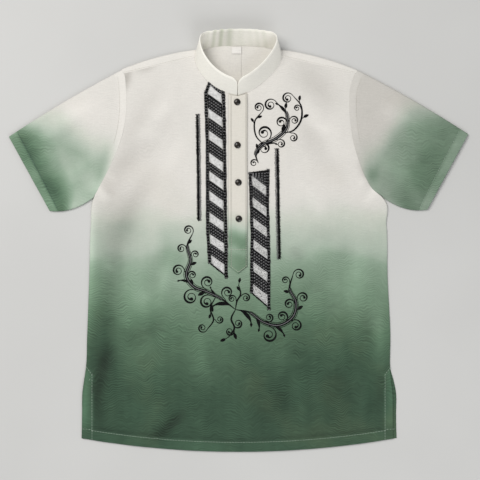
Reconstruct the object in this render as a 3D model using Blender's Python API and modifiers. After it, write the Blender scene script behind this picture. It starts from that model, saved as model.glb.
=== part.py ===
"""Short-sleeved barong tagalog shirt, lying flat on its back.

Sizes are in millimetres and become metres as each mesh is written. X runs across the shirt, Y from
the hem to the collar and Z up from the surface that it lies on. Right and left are the wearer's,
so the wearer's right is at -X. The origin is at the middle of the shirt, on that surface.
"""
import math
from collections import namedtuple

import bmesh
import bpy

COLLECTION = "barong_tagalog_shirt"
MM = 0.001

# Cloth and seams
CLOTH = 1.2
SEAM_GAP = 0.3
ARMHOLE_GAP = 0.5
FOLD_RADIUS = 2.4
LAID_TOP = 2 * FOLD_RADIUS
EDGE_TOP = 2 * CLOTH + SEAM_GAP
HEM_RELIEF = 0.5

# Outline
HEM_DROP = 26.0
HEM_HALF = 302.0
NECK_HALF = 82.0
NECK_Y = 352.0
NECK_DEPTH = 70.0
NECK_FULLNESS_RIGHT = 1.7
NECK_FULLNESS_LEFT = 1.4
BACK_NECK_RISE = 24.0
BACK_NECK_FULLNESS = 2.6
SHOULDER_Y = 366.3
SHOULDER_SLOPE = 0.125
SHOULDER_BEND = 0.00102
SEAM_NECK_Y = 353.0
VENT_TOP_Y = -245.0
VENT_HEM = 18.0
UNDERARM_Y = 83.0
SHOULDER_SEAM_Y = 320.6
SHOULDER_END_Y = 327.5

# Placket and buttons
PLACKET_X = -1.1
PLACKET_WIDTH = 36.0
PLACKET_END_Y = -49.0
PLACKET_POINT = 13.5
PLACKET_PLY = 1.2
UNDERLAP_WIDTH = 28.0
UNDERLAP_PLY = 1.0
UNDERLAP_END_Y = -44.0
SLIT_HALF = 1.2
SLIT_END_Y = -36.0
BUTTON_DIAMETER = 12.7
BUTTON_HEIGHT = 3.4
BUTTON_PLACES = ((-2.6, 265.5), (-2.0, 183.0), (-0.3, 111.6), (0.5, 41.9))

# Collar band
BAND_HEIGHT = 38.0
BAND_PLY = 1.7
BAND_PLY_GAP = 0.5
BAND_GROWTH = 2.5
BAND_LEAN_Y = 29.0
BAND_LEAN_IN = 10.0
BAND_END_RADIUS = 12.0
BAND_END_RIGHT = -3.6
BAND_END_LEFT = 0.2
BAND_SAMPLES = 60
BAND_STEPS = 72
BAND_EASING = 4
BAND_ROWS = 4

# Sleeves
CUFF_TOP_RIGHT = (-440.4, 199.5)
CUFF_BOTTOM_RIGHT = (-362.0, 57.0)
CUFF_TOP_LEFT = (440.4, 204.5)
CUFF_BOTTOM_LEFT = (362.0, 59.5)
CUFF_HEM = 17.0
SLEEVE_STEPS = 10
SLEEVE_TOP_BOW = 4.0
SLEEVE_UNDER_BOW = -12.0
SLEEVE_PUFF = 1.4
FOLD_ARC_STEPS = 4

LABEL_SIZE = (19.0, 13.0, 1.0)
LABEL_PLACE = (-3.6, 365.0)

# One row for each level of the body's side edge, from the hem up. right and left are the half
# widths of the front, back_left is the back's where it peeks out, steps is how many rows of the
# front lead to the next level and back_steps how many of the back.
Level = namedtuple("Level", "name y right left back_left steps back_steps")
LEVELS = (
    Level("hem", -379.0, 301.0, 297.5, 303.3, 1, 1),
    Level("hem_fold", -360.0, 300.6, 296.8, 302.6, 1, 1),
    Level("above_hem", -358.5, 300.5, 296.8, 302.5, 3, 2),
    Level("vent_low", -290.0, 299.5, 295.6, 302.0, 1, 1),
    Level("vent_high", -268.0, 296.5, 293.0, 297.5, 1, 1),
    Level("vent_top", VENT_TOP_Y, 293.0, 291.0, 291.0, 3, 1),
    Level("side_low", -184.0, 290.5, 291.2, 291.2, 5, 3),
    Level("side_mid", -67.0, 286.4, 285.8, 285.8, 4, 3),
    Level("side_high", 30.0, 283.2, 283.7, 283.7, 2, 2),
    Level("underarm", UNDERARM_Y, 277.5, 276.5, 276.5, 1, 1),
    Level("armhole_1", 98.0, 269.5, 258.0, 258.0, 1, 1),
    Level("armhole_2", 118.0, 259.0, 245.0, 245.0, 1, 1),
    Level("armhole_3", 145.0, 245.0, 233.5, 233.5, 1, 1),
    Level("armhole_4", 178.0, 230.5, 222.8, 222.8, 1, 1),
    Level("armhole_5", 219.0, 219.0, 215.0, 215.0, 1, 1),
    Level("armhole_6", 262.0, 214.5, 212.2, 212.2, 1, 1),
    Level("armhole_7", 296.0, 216.0, 214.6, 214.6, 1, 1),
    Level("shoulder_seam", SHOULDER_SEAM_Y, 219.5, 223.8, 223.8, 1, 1),
    Level("shoulder_fold", SHOULDER_END_Y, 223.0, 226.5, 226.5, 0, 0),
)

# Upright columns of the grids between the neck's two corners, then how far out the others stand
# as a share of the way from the neck corner to the side edge.
FRONT_NECK_COLUMNS = (-75.0, -65.0, -54.0, -42.0, -31.0, -20.0, -10.0, -2.3, 0.1, 8.0, 18.9, 31.0, 42.0,
                      54.0, 65.0, 75.0)
FRONT_SHARES = (0.0, 0.1, 0.2, 0.3, 0.4, 0.5, 0.6, 0.7, 0.8, 0.87, 0.915, 0.922, 1.0)
BACK_NECK_COLUMNS = (-79.0, -70.0, -56.0, -38.0, -18.0, 0.0, 18.0, 38.0, 56.0, 70.0, 79.0)
BACK_SHARES = (0.0, 0.22, 0.44, 0.66, 0.86, 1.0)

# Creases of the upper ply. A crease runs from x0, y0 to x1, y1 and bows sideways in the middle.
# Its height is that of its crest above the cloth, or the depth of its trough where negative.
Crease = namedtuple("Crease", "name x0 y0 x1 y1 bow width height")
CREASES = (
    Crease("right_side_trough", -252, 45, -244, -205, -5, 17, -2.0),
    Crease("right_side_ridge", -219, 30, -211, -205, -6, 17, 3.4),
    Crease("right_edge_roll", -276, 20, -268, -180, 3, 13, 2.2),
    Crease("right_vent_trough", -232, -190, -270, -262, 10, 15, -1.8),
    Crease("right_vent_ridge", -246, -222, -272, -330, -8, 15, 2.6),
    Crease("right_belly_ridge", -176, -80, -204, -200, -6, 18, 3.0),
    Crease("right_waist_ridge", -118, -10, -154, -140, 5, 15, 3.6),
    Crease("right_waist_trough", -140, -5, -176, -125, 5, 14, -1.6),
    Crease("centre_right_ridge", -72, -140, -62, -272, 5, 13, 3.2),
    Crease("right_hem_ridge", -92, -322, -146, -388, -4, 14, 3.0),
    Crease("right_hem_trough", -108, -315, -162, -372, -4, 12, -1.4),
    Crease("right_chest_trough", -100, 285, -256, 105, -16, 22, -1.6),
    Crease("right_chest_ridge", -118, 312, -246, 150, -16, 20, 2.6),
    Crease("right_underarm_tuck", -282, 122, -244, 70, 3, 11, 3.0),
    Crease("left_waist_trough", 182, -45, 108, -122, 6, 19, -1.6),
    Crease("left_waist_ridge", 200, -78, 126, -152, 6, 18, 3.0),
    Crease("left_skirt_trough", 78, -240, 98, -345, -4, 12, -1.8),
    Crease("left_skirt_ridge", 102, -225, 124, -372, -5, 14, 3.2),
    Crease("left_cross_ridge", 36, -228, 206, -234, 2, 8, 1.8),
    Crease("left_vent_trough", 274, -250, 244, -352, -5, 12, -1.6),
    Crease("left_vent_ridge", 252, -240, 222, -366, -5, 14, 2.8),
    Crease("left_edge_roll", 276, -110, 280, -246, 3, 12, 2.6),
    Crease("left_chest_trough", 96, 262, 232, 96, 14, 20, -1.4),
    Crease("left_chest_ridge", 122, 290, 214, 158, 12, 18, 1.8),
    Crease("left_underarm_tuck", 274, 122, 240, 70, -3, 11, 3.0),
    Crease("right_cuff_pucker", -408, 150, -352, 168, 4, 12, 2.8),
    Crease("right_cuff_trough", -412, 132, -356, 142, 4, 11, -1.4),
    Crease("right_sleeve_ridge", -262, 168, -366, 108, -6, 16, 3.0),
    Crease("right_sleeve_high_ridge", -262, 268, -376, 204, 5, 17, 2.2),
    Crease("left_sleeve_ridge", 262, 164, 372, 112, 6, 16, 3.0),
    Crease("left_sleeve_high_ridge", 268, 262, 392, 186, -5, 18, 2.4),
    Crease("left_cuff_trough", 404, 170, 350, 150, 3, 12, -1.4),
)

Finish = namedtuple("Finish", "name colour roughness")
IVORY = Finish("ivory_organza", (0.71, 0.69, 0.65, 1.0), 0.55)
GREEN = Finish("sage_organza", (0.25, 0.36, 0.27, 1.0), 0.55)
BAND = Finish("collar_organza", (0.66, 0.64, 0.57, 1.0), 0.5)
LABEL = Finish("label_gauze", (0.74, 0.69, 0.62, 1.0), 0.6)
BUTTON = Finish("button_resin", (0.012, 0.010, 0.009, 1.0), 0.18)


def clear_scene():
    """Remove every object that the file opened with."""
    for item in list(bpy.data.objects):
        bpy.data.objects.remove(item, do_unlink=True)


def mix(low, high, share):
    return low + (high - low) * share


def smooth(value):
    """Ease from 0 to 1 as value does, level at both ends."""
    held = min(max(value, 0.0), 1.0)
    return held * held * (3.0 - 2.0 * held)


def superellipse(x, half, rise, fullness):
    """Height above its base of a rounded arch at x."""
    share = min(abs(x) / half, 1.0)
    return rise * (1.0 - share ** fullness) ** (1.0 / fullness)


def neck_front_y(x, growth=0.0):
    """Front neck line, or one grown outwards for the band that stands on it."""
    fullness = NECK_FULLNESS_RIGHT if x < 0 else NECK_FULLNESS_LEFT
    return NECK_Y - superellipse(x, NECK_HALF + growth, NECK_DEPTH + 1.6 * growth, fullness)


def neck_back_y(x, growth=0.0):
    """Back neck line."""
    return NECK_Y + superellipse(x, NECK_HALF + growth, BACK_NECK_RISE, BACK_NECK_FULLNESS)


def shoulder_fold_y(x):
    """Line on which the back folds over to the front."""
    reach = abs(x) - NECK_HALF
    return SHOULDER_Y - SHOULDER_SLOPE * reach - SHOULDER_BEND * reach * reach


def shoulder_seam_y(x, end_half):
    """Straight forward seam from the neck corner to the armhole."""
    return mix(SEAM_NECK_Y, SHOULDER_SEAM_Y, (abs(x) - NECK_HALF) / (end_half - NECK_HALF))


def hem_y(x):
    """Hem line, lowest at the middle."""
    return LEVELS[0].y - HEM_DROP * (1.0 - (x / HEM_HALF) ** 2)


def crease_lift(x, y):
    """Sum of the creases at a point."""
    total = 0.0
    for crease in CREASES:
        run_x = crease.x1 - crease.x0
        run_y = crease.y1 - crease.y0
        length = math.hypot(run_x, run_y)
        along = ((x - crease.x0) * run_x + (y - crease.y0) * run_y) / length ** 2
        if along <= 0.0 or along >= 1.0:
            continue
        aside = ((x - crease.x0) * run_y - (y - crease.y0) * run_x) / length
        aside -= crease.bow * 4.0 * along * (1.0 - along)
        total += crease.height * math.sin(math.pi * along) ** 0.8 * math.exp(-(aside / crease.width) ** 2)
    return total


def upper_top(x, y, side_half):
    """Height of the upper ply's top over the body, from 2 plies lying tight at the edges."""
    from_side = smooth((side_half - abs(x)) / 55.0)
    near_armhole = smooth((y - 25.0) / (UNDERARM_Y - 25.0))
    from_hem = smooth((y - hem_y(x)) / 60.0)
    rise = max(from_side, near_armhole) * mix(0.35, 1.0, from_hem)
    loose = mix(EDGE_TOP, LAID_TOP, rise) + crease_lift(x, y)
    beside = smooth((abs(x - PLACKET_X) - 21.0) / 26.0)
    below = smooth((-70.0 - y) / 30.0)
    near_seam = smooth((shoulder_seam_y(x, side_half) - y) / 26.0) if y > 240.0 else 1.0
    loose = mix(LAID_TOP, loose, max(beside, below) * near_seam)
    return max(loose, EDGE_TOP)


def body_rows(steps_name):
    """Side levels from the hem to the shoulder, with the rows between them."""
    rows = []
    for low, high in zip(LEVELS, LEVELS[1:]):
        steps = getattr(low, steps_name)
        for step in range(steps):
            share = step / steps
            rows.append(Level(low.name, *(mix(a, b, share) for a, b in zip(low[1:5], high[1:5])), 0, 0))
    return rows + [LEVELS[-1]]


def body_columns(neck_columns, shares):
    """Columns from the wearer's right edge to the left, as a fixed x or a share beyond the neck."""
    outer = [("right", share) for share in reversed(shares)]
    inner = [("fixed", x) for x in neck_columns]
    return outer + inner + [("left", share) for share in shares]


def column_x(column, right, left):
    kind, value = column
    if kind == "fixed":
        return value
    if kind == "right":
        return -mix(NECK_HALF, right, value)
    return mix(NECK_HALF, left, value)


def finish_material(finish):
    """Principled material of one of the named finishes."""
    found = bpy.data.materials.get(finish.name)
    if found:
        return found
    material = bpy.data.materials.new(finish.name)
    material.use_nodes = True
    shader = material.node_tree.nodes["Principled BSDF"]
    shader.inputs["Base Color"].default_value = finish.colour
    shader.inputs["Roughness"].default_value = finish.roughness
    shader.inputs["Metallic"].default_value = 0.0
    return material


def add_object(name, mesh, finish):
    """Put a mesh in the shirt's collection under its node's name."""
    mesh.materials.append(finish_material(finish))
    item = bpy.data.objects.new(name, mesh)
    bpy.data.collections[COLLECTION].objects.link(item)
    return item


def add_wall(item, thickness):
    """Give an open cloth surface its thickness, on the inner side."""
    wall = item.modifiers.new("wall", "SOLIDIFY")
    wall.thickness = thickness * MM
    wall.offset = -1.0
    wall.use_even_offset = True
    wall.use_rim = True


def grid_object(name, rows, finish, keep=None, closed=False):
    """Cloth surface over rows of points, each with the same columns or with gaps as None."""
    mesh = bpy.data.meshes.new(name)
    work = bmesh.new()
    points = [[p and work.verts.new([c * MM for c in p]) for p in row] for row in rows]
    width = len(rows[0])
    for i in range(len(rows) - 1):
        for j in range(width if closed else width - 1):
            k = (j + 1) % width
            corners = [points[i][j], points[i][k], points[i + 1][k], points[i + 1][j]]
            if None not in corners and (keep is None or keep(i, j)):
                work.faces.new(corners)
    work.to_mesh(mesh)
    work.free()
    item = add_object(name, mesh, finish)
    add_wall(item, CLOTH)
    return item


def hem_raise(x, y, side_half, row_y):
    """Extra height where the cloth is turned under at the hem and at the vents."""
    turned_hem = row_y <= LEVELS[1].y
    turned_vent = row_y <= VENT_TOP_Y and side_half - abs(x) < VENT_HEM
    return HEM_RELIEF if turned_hem or turned_vent else 0.0


def build_front():
    """Front: one piece from the hem to the neck and the forward shoulder seams, slit at the top."""
    levels = body_rows("steps")[:-1]
    columns = body_columns(FRONT_NECK_COLUMNS, FRONT_SHARES)
    bottom_y = levels[0].y
    rows = []
    for level in levels:
        climb = (level.y - bottom_y) / (SHOULDER_SEAM_Y - bottom_y)
        row = []
        for column in columns:
            x = column_x(column, level.right, level.left)
            side_half = level.right if x < 0 else level.left
            end_half = LEVELS[-2].right if x < 0 else LEVELS[-2].left
            at_top = column_x(column, LEVELS[-2].right, LEVELS[-2].left)
            at_hem = column_x(column, LEVELS[0].right, LEVELS[0].left)
            if column[0] == "fixed":
                top_y = neck_front_y(at_top)
            else:
                top_y = shoulder_seam_y(at_top, end_half)
            y = mix(hem_y(at_hem), top_y, climb)
            z = upper_top(x, y, side_half) + hem_raise(x, y, side_half, level.y)
            row.append((x, y, z))
        rows.append(row)
    slit_column = next(j for j, c in enumerate(columns) if c == ("fixed", PLACKET_X - SLIT_HALF))
    return grid_object("front", rows, IVORY, keep=lambda i, j: j != slit_column or rows[i][j][1] < SLIT_END_Y)


def build_back():
    """Back: flat underneath, folded over each shoulder to the forward seam."""
    levels = body_rows("back_steps")
    columns = body_columns(BACK_NECK_COLUMNS, BACK_SHARES)
    bottom_y = levels[0].y
    end_y = SHOULDER_END_Y - FOLD_RADIUS
    rows = []
    for level in levels:
        climb = min((level.y - bottom_y) / (end_y - bottom_y), 1.0)
        row = []
        for column in columns:
            x = column_x(column, level.right, level.back_left)
            at_top = column_x(column, LEVELS[-1].right, LEVELS[-1].back_left)
            at_hem = column_x(column, LEVELS[0].right, LEVELS[0].back_left)
            top_y = neck_back_y(at_top) if column[0] == "fixed" else shoulder_fold_y(at_top) - FOLD_RADIUS
            row.append((x, mix(hem_y(at_hem), top_y, climb), 0.0))
        rows.append(row)
    fold = rows[-1]
    for step in range(1, FOLD_ARC_STEPS + 1):
        turn = math.pi * step / FOLD_ARC_STEPS
        rows.append([flap_point(c, p, FOLD_RADIUS * math.sin(turn), FOLD_RADIUS * (1 - math.cos(turn)))
                     for c, p in zip(columns, fold)])
    seam = LEVELS[-2]
    row = []
    for column in columns:
        end_half = seam.right if column[0] == "right" else seam.left
        x = column_x(column, seam.right, seam.left)
        y = shoulder_seam_y(x, end_half) + SEAM_GAP
        row.append(None if column[0] == "fixed" else (x, y, LAID_TOP))
    rows.append(row)
    upside_down = [list(reversed(row)) for row in rows]
    return grid_object("back", upside_down, IVORY)


def flap_point(column, fold_point, reach, height):
    """Point of the shoulder fold; there is none between the neck's corners."""
    if column[0] == "fixed":
        return None
    return (fold_point[0], fold_point[1] + reach, height)


def sleeve_outline(side, share, stations):
    """Points across a flat sleeve from its underarm edge to its shoulder edge."""
    sign = -1.0 if side == "right" else 1.0
    cuff_top = CUFF_TOP_RIGHT if side == "right" else CUFF_TOP_LEFT
    cuff_bottom = CUFF_BOTTOM_RIGHT if side == "right" else CUFF_BOTTOM_LEFT
    armhole = [(sign * (getattr(s, side) + ARMHOLE_GAP), s.y) for s in stations]
    low = armhole[0][1]
    spread = armhole[-1][1] - low
    swell = 4.0 * share * (1.0 - share)
    points = []
    for x, y in armhole:
        across = (y - low) / spread
        cuff_x = mix(cuff_bottom[0], cuff_top[0], across)
        cuff_y = mix(cuff_bottom[1], cuff_top[1], across)
        bow = mix(SLEEVE_UNDER_BOW, SLEEVE_TOP_BOW, across) * swell
        points.append((mix(x, cuff_x, share), mix(y, cuff_y, share) + bow))
    return points


def towards(start, end, distance):
    """Point at a distance from start on the way to end."""
    length = math.dist(start, end)
    return tuple(mix(a, b, distance / length) for a, b in zip(start, end))


def sleeve_loop(points, relief):
    """Closed section of a flattened sleeve: over the top ply, round the fold, back under it."""
    under, over = points[0], points[-1]
    low = towards(under, over, FOLD_RADIUS)
    high = towards(over, under, FOLD_RADIUS)
    middle = points[1:-1]
    loop = []
    for x, y in [low] + middle + [high]:
        across = math.dist(under, (x, y)) / math.dist(under, over)
        window = math.sin(math.pi * min(max(across, 0.0), 1.0)) ** 0.5
        lift = crease_lift(x, y) * window + SLEEVE_PUFF * window + relief
        held = 0.0 if (x, y) in (low, high) else max(lift, EDGE_TOP - LAID_TOP)
        loop.append((x, y, LAID_TOP + held))
    out = ((over[0] - high[0]) / FOLD_RADIUS, (over[1] - high[1]) / FOLD_RADIUS)
    loop += half_turn(high, out)
    loop += [(x, y, 0.0) for x, y in [high] + middle[::-1] + [low]]
    loop += [(x, y, 2 * FOLD_RADIUS - z) for x, y, z in half_turn(low, (-out[0], -out[1]))]
    return loop


def half_turn(centre, out):
    """Points round a folded edge, from its top to its underside."""
    arc = []
    for step in range(1, FOLD_ARC_STEPS):
        turn = math.pi * step / FOLD_ARC_STEPS
        reach = FOLD_RADIUS * math.sin(turn)
        arc.append((centre[0] + out[0] * reach, centre[1] + out[1] * reach, FOLD_RADIUS * (1 + math.cos(turn))))
    return arc


def build_sleeve(side):
    """Sleeve: one flattened tube from the armhole to its turned hem."""
    stations = [level for level in LEVELS if level.y >= UNDERARM_Y]
    length = math.dist(sleeve_outline(side, 0.0, stations)[5], sleeve_outline(side, 1.0, stations)[5])
    turned = 1.0 - CUFF_HEM / length
    shares = [turned * step / SLEEVE_STEPS for step in range(SLEEVE_STEPS + 1)] + [turned + 0.01, 1.0]
    rows = []
    for share in shares:
        relief = HEM_RELIEF if share > turned else 0.0
        rows.append(sleeve_loop(sleeve_outline(side, share, stations), relief))
    if side == "left":
        rows = [list(reversed(row)) for row in rows]
    return grid_object("sleeve_" + side, rows, GREEN, closed=True)


def band_path(growth):
    """Evenly spaced points round the neck seam, from the wearer's right front end to the left."""
    half = NECK_HALF + growth
    rough = []
    for step in range(BAND_SAMPLES):
        x = mix(BAND_END_RIGHT, -half, math.sin(0.5 * math.pi * step / BAND_SAMPLES))
        rough.append((x, neck_front_y(x, growth)))
    for step in range(2 * BAND_SAMPLES):
        x = -half * math.cos(0.5 * math.pi * step / BAND_SAMPLES)
        rough.append((x, neck_back_y(x, growth)))
    for step in range(BAND_SAMPLES + 1):
        x = mix(BAND_END_LEFT, half, math.cos(0.5 * math.pi * step / BAND_SAMPLES))
        rough.append((x, neck_front_y(x, growth)))
    path = even_points(rough, BAND_STEPS)
    for _ in range(BAND_EASING):
        eased = [tuple(0.25 * a + 0.5 * b + 0.25 * c for a, b, c in zip(*three))
                 for three in zip(path, path[1:], path[2:])]
        path = [path[0]] + eased + [path[-1]]
    return path


def even_points(path, steps):
    """Points at equal distances along a path."""
    lengths = path_lengths(path)
    points = []
    index = 0
    for step in range(steps + 1):
        wanted = lengths[-1] * step / steps
        while index < len(path) - 2 and lengths[index + 1] < wanted:
            index += 1
        share = (wanted - lengths[index]) / (lengths[index + 1] - lengths[index])
        points.append(tuple(mix(a, b, share) for a, b in zip(path[index], path[index + 1])))
    return points


def band_seat(x, y):
    """Height of the cloth on which the band stands."""
    if y <= NECK_Y + 1.0:
        return LAID_TOP
    return mix(CLOTH, LAID_TOP, smooth((abs(x) - 60.0) / 18.0))


def path_lengths(path):
    """Distance of each point along a path."""
    lengths = [0.0]
    for a, b in zip(path, path[1:]):
        lengths.append(lengths[-1] + math.dist(a, b))
    return lengths


def build_band_ply(name, inset):
    """One ply of the collar band, leaning back as the opened neck lies, with rounded front ends."""
    path = band_path(BAND_GROWTH)
    lengths = path_lengths(path)
    sections = []
    for index, (x, y) in enumerate(path):
        before = path[max(index - 1, 0)]
        after = path[min(index + 1, len(path) - 1)]
        run = math.dist(before, after)
        inward = ((after[1] - before[1]) / run, -(after[0] - before[0]) / run)
        lean = (-BAND_LEAN_IN * x / (NECK_HALF + BAND_GROWTH), BAND_LEAN_Y)
        flat_lean = lean[0] * inward[0] + lean[1] * inward[1]
        rise = math.sqrt(BAND_HEIGHT ** 2 - flat_lean ** 2)
        from_end = min(lengths[index], lengths[-1] - lengths[index])
        short = max(BAND_END_RADIUS - from_end, 0.0)
        height = 1.0 - (BAND_END_RADIUS - math.sqrt(BAND_END_RADIUS ** 2 - short ** 2)) / BAND_HEIGHT
        foot = band_seat(x, y) + SEAM_GAP
        wall = []
        for depth in (inset, inset + BAND_PLY):
            face = []
            for row in range(BAND_ROWS + 1):
                climb = height * row / BAND_ROWS
                face.append((x + inward[0] * depth + lean[0] * climb, y + inward[1] * depth + lean[1] * climb,
                             foot + rise * climb))
            wall.append(face)
        sections.append(wall[0] + wall[1][::-1])
    return loft_object(name, sections, BAND)


def loft_object(name, sections, finish):
    """Closed solid through a row of closed sections, capped at both ends."""
    mesh = bpy.data.meshes.new(name)
    work = bmesh.new()
    rings = [[work.verts.new([c * MM for c in p]) for p in section] for section in sections]
    count = len(rings[0])
    for near, far in zip(rings, rings[1:]):
        for j in range(count):
            k = (j + 1) % count
            work.faces.new((near[j], near[k], far[k], far[j]))
    work.faces.new(rings[0][::-1])
    work.faces.new(rings[-1])
    bmesh.ops.recalc_face_normals(work, faces=work.faces)
    work.to_mesh(mesh)
    work.free()
    return add_object(name, mesh, finish)


def build_strip(name, outline, bottom, thickness, finish):
    """Flat strip of cloth cut to an outline."""
    curve = bpy.data.curves.new(name, "CURVE")
    curve.dimensions = "2D"
    curve.fill_mode = "BOTH"
    curve.extrude = 0.5 * thickness * MM
    spline = curve.splines.new("POLY")
    spline.points.add(len(outline) - 1)
    spline.use_cyclic_u = True
    for point, (x, y) in zip(spline.points, outline):
        point.co = (x * MM, y * MM, 0.0, 1.0)
    curve.materials.append(finish_material(finish))
    item = bpy.data.objects.new(name, curve)
    item.location.z = (bottom + 0.5 * thickness) * MM
    bpy.data.collections[COLLECTION].objects.link(item)
    return item


def strip_outline(width, end_y, point_drop):
    """Placket strip from under the band down to a pointed or a square end."""
    half = 0.5 * width
    steps = 8
    outline = []
    for step in range(steps + 1):
        x = PLACKET_X + mix(half, -half, step / steps)
        outline.append((x, neck_front_y(x, BAND_GROWTH) - 2 * SEAM_GAP))
    outline.append((PLACKET_X - half, end_y))
    if point_drop:
        outline.append((PLACKET_X, end_y - point_drop))
    outline.append((PLACKET_X + half, end_y))
    return outline


def build_placket():
    """Underlap strip and, over it, the placket with its pointed end."""
    underlap_bottom = LAID_TOP + SEAM_GAP
    placket_bottom = underlap_bottom + UNDERLAP_PLY + SEAM_GAP
    build_strip("placket_underlap", strip_outline(UNDERLAP_WIDTH, UNDERLAP_END_Y, 0.0), underlap_bottom,
                UNDERLAP_PLY, IVORY)
    build_strip("placket", strip_outline(PLACKET_WIDTH, PLACKET_END_Y, PLACKET_POINT), placket_bottom,
                PLACKET_PLY, IVORY)
    return placket_bottom + PLACKET_PLY


def build_buttons(seat):
    """Domed buttons, one mesh turned from a profile and placed down the placket."""
    radius = 0.5 * BUTTON_DIAMETER
    profile = [(0.0, BUTTON_HEIGHT), (0.42 * radius, 0.93 * BUTTON_HEIGHT), (0.76 * radius, 0.72 * BUTTON_HEIGHT),
               (0.95 * radius, 0.46 * BUTTON_HEIGHT), (radius, 0.3 * BUTTON_HEIGHT),
               (0.94 * radius, 0.1 * BUTTON_HEIGHT), (0.8 * radius, 0.0), (0.0, 0.0)]
    mesh = bpy.data.meshes.new("button")
    mesh.from_pydata([(r * MM, 0.0, z * MM) for r, z in profile], [(i, i + 1) for i in range(len(profile) - 1)], [])
    mesh.materials.append(finish_material(BUTTON))
    for number, (x, y) in enumerate(BUTTON_PLACES, start=1):
        item = bpy.data.objects.new("button_%d" % number, mesh)
        item.location = (x * MM, y * MM, (seat + SEAM_GAP) * MM)
        bpy.data.collections[COLLECTION].objects.link(item)
        turned = item.modifiers.new("turned", "SCREW")
        turned.steps = 20
        turned.render_steps = 20
        turned.use_merge_vertices = True
        turned.merge_threshold = 0.00001
        turned.use_smooth_shade = True


def build_label():
    """Bare gauze label inside the back neck."""
    width, height, thickness = LABEL_SIZE
    x, y = LABEL_PLACE
    outline = [(x - 0.5 * width, y - 0.5 * height), (x + 0.5 * width, y - 0.5 * height),
               (x + 0.5 * width, y + 0.5 * height), (x - 0.5 * width, y + 0.5 * height)]
    build_strip("neck_label", outline, CLOTH + SEAM_GAP, thickness, LABEL)


def main():
    clear_scene()
    bpy.context.scene.collection.children.link(bpy.data.collections.new(COLLECTION))
    build_back()
    build_front()
    for side in ("right", "left"):
        build_sleeve(side)
    build_band_ply("collar_outer", 0.0)
    build_band_ply("collar_inner", BAND_PLY + BAND_PLY_GAP)
    seat = build_placket()
    build_buttons(seat)
    build_label()


main()
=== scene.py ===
"""Looks of a short-sleeved barong tagalog shirt that lies flat on its back.

Sizes are in millimetres until a mesh is written. X runs across the shirt, Y from hem to collar and
Z up. Right and left are the wearer's, so the wearer's right is at -X.
"""
import logging
import math
from dataclasses import dataclass
from enum import Enum
from typing import Callable, Iterable, NamedTuple, Optional, Sequence

import bpy
import numpy as np
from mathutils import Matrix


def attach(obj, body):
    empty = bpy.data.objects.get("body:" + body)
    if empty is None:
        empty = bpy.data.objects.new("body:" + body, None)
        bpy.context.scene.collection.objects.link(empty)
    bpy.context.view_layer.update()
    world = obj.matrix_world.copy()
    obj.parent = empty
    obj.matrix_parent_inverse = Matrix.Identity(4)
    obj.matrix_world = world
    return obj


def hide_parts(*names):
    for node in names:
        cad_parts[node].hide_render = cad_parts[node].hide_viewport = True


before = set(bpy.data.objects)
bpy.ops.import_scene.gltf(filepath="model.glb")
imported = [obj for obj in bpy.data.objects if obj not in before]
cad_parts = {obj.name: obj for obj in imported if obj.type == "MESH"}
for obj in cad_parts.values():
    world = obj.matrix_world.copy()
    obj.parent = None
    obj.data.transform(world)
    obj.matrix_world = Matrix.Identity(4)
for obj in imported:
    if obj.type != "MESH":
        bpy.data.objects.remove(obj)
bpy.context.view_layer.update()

MM = 0.001
OUTER_REACH = 200
LOG = logging.getLogger("barong")
Points = np.ndarray
Path2D = Sequence[tuple[float, float]]
Line = Callable[[Points], Points]
Triple = tuple[float, float, float]
Object = bpy.types.Object
Material = bpy.types.Material
Socket = bpy.types.NodeSocket


class Side(Enum):
    """The wearer's sides, with the sign of X on each."""

    RIGHT = -1
    LEFT = 1


class Level(NamedTuple):
    """Half widths of the body at one height of its side edge."""

    y: float
    right: float
    left: float
    back_left: float


class Crease(NamedTuple):
    """Soft ridge, or a trough where its height is negative, along a bowed line; in PAINTED_SHADES the height
    is painted light where positive and painted shade where negative.
    """

    x0: float
    y0: float
    x1: float
    y1: float
    bow: float
    width: float
    height: float


class Cloud(NamedTuple):
    """Place where the dip dye reaches higher, or lower where negative, than elsewhere."""

    x: float
    y: float
    reach_x: float
    reach_y: float
    rise: float


LEVELS = tuple(Level(*row) for row in (
    (-379, 301, 297.5, 303.3), (-360, 300.6, 296.8, 302.6), (-330, 300.2, 296.4, 302.3),
    (-290, 299.5, 295.6, 302), (-268, 296.5, 293, 297.5), (-245, 293, 291, 291),
    (-184, 290.5, 291.2, 291.2), (-67, 286.4, 285.8, 285.8), (30, 283.2, 283.7, 283.7),
    (83, 277.5, 276.5, 276.5), (98, 269.5, 258, 258), (118, 259, 245, 245),
    (145, 245, 233.5, 233.5), (178, 230.5, 222.8, 222.8), (219, 219, 215, 215),
    (262, 214.5, 212.2, 212.2), (296, 216, 214.6, 214.6), (320.6, 219.5, 223.8, 223.8),
    (327.5, 223, 226.5, 226.5),
))

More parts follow.
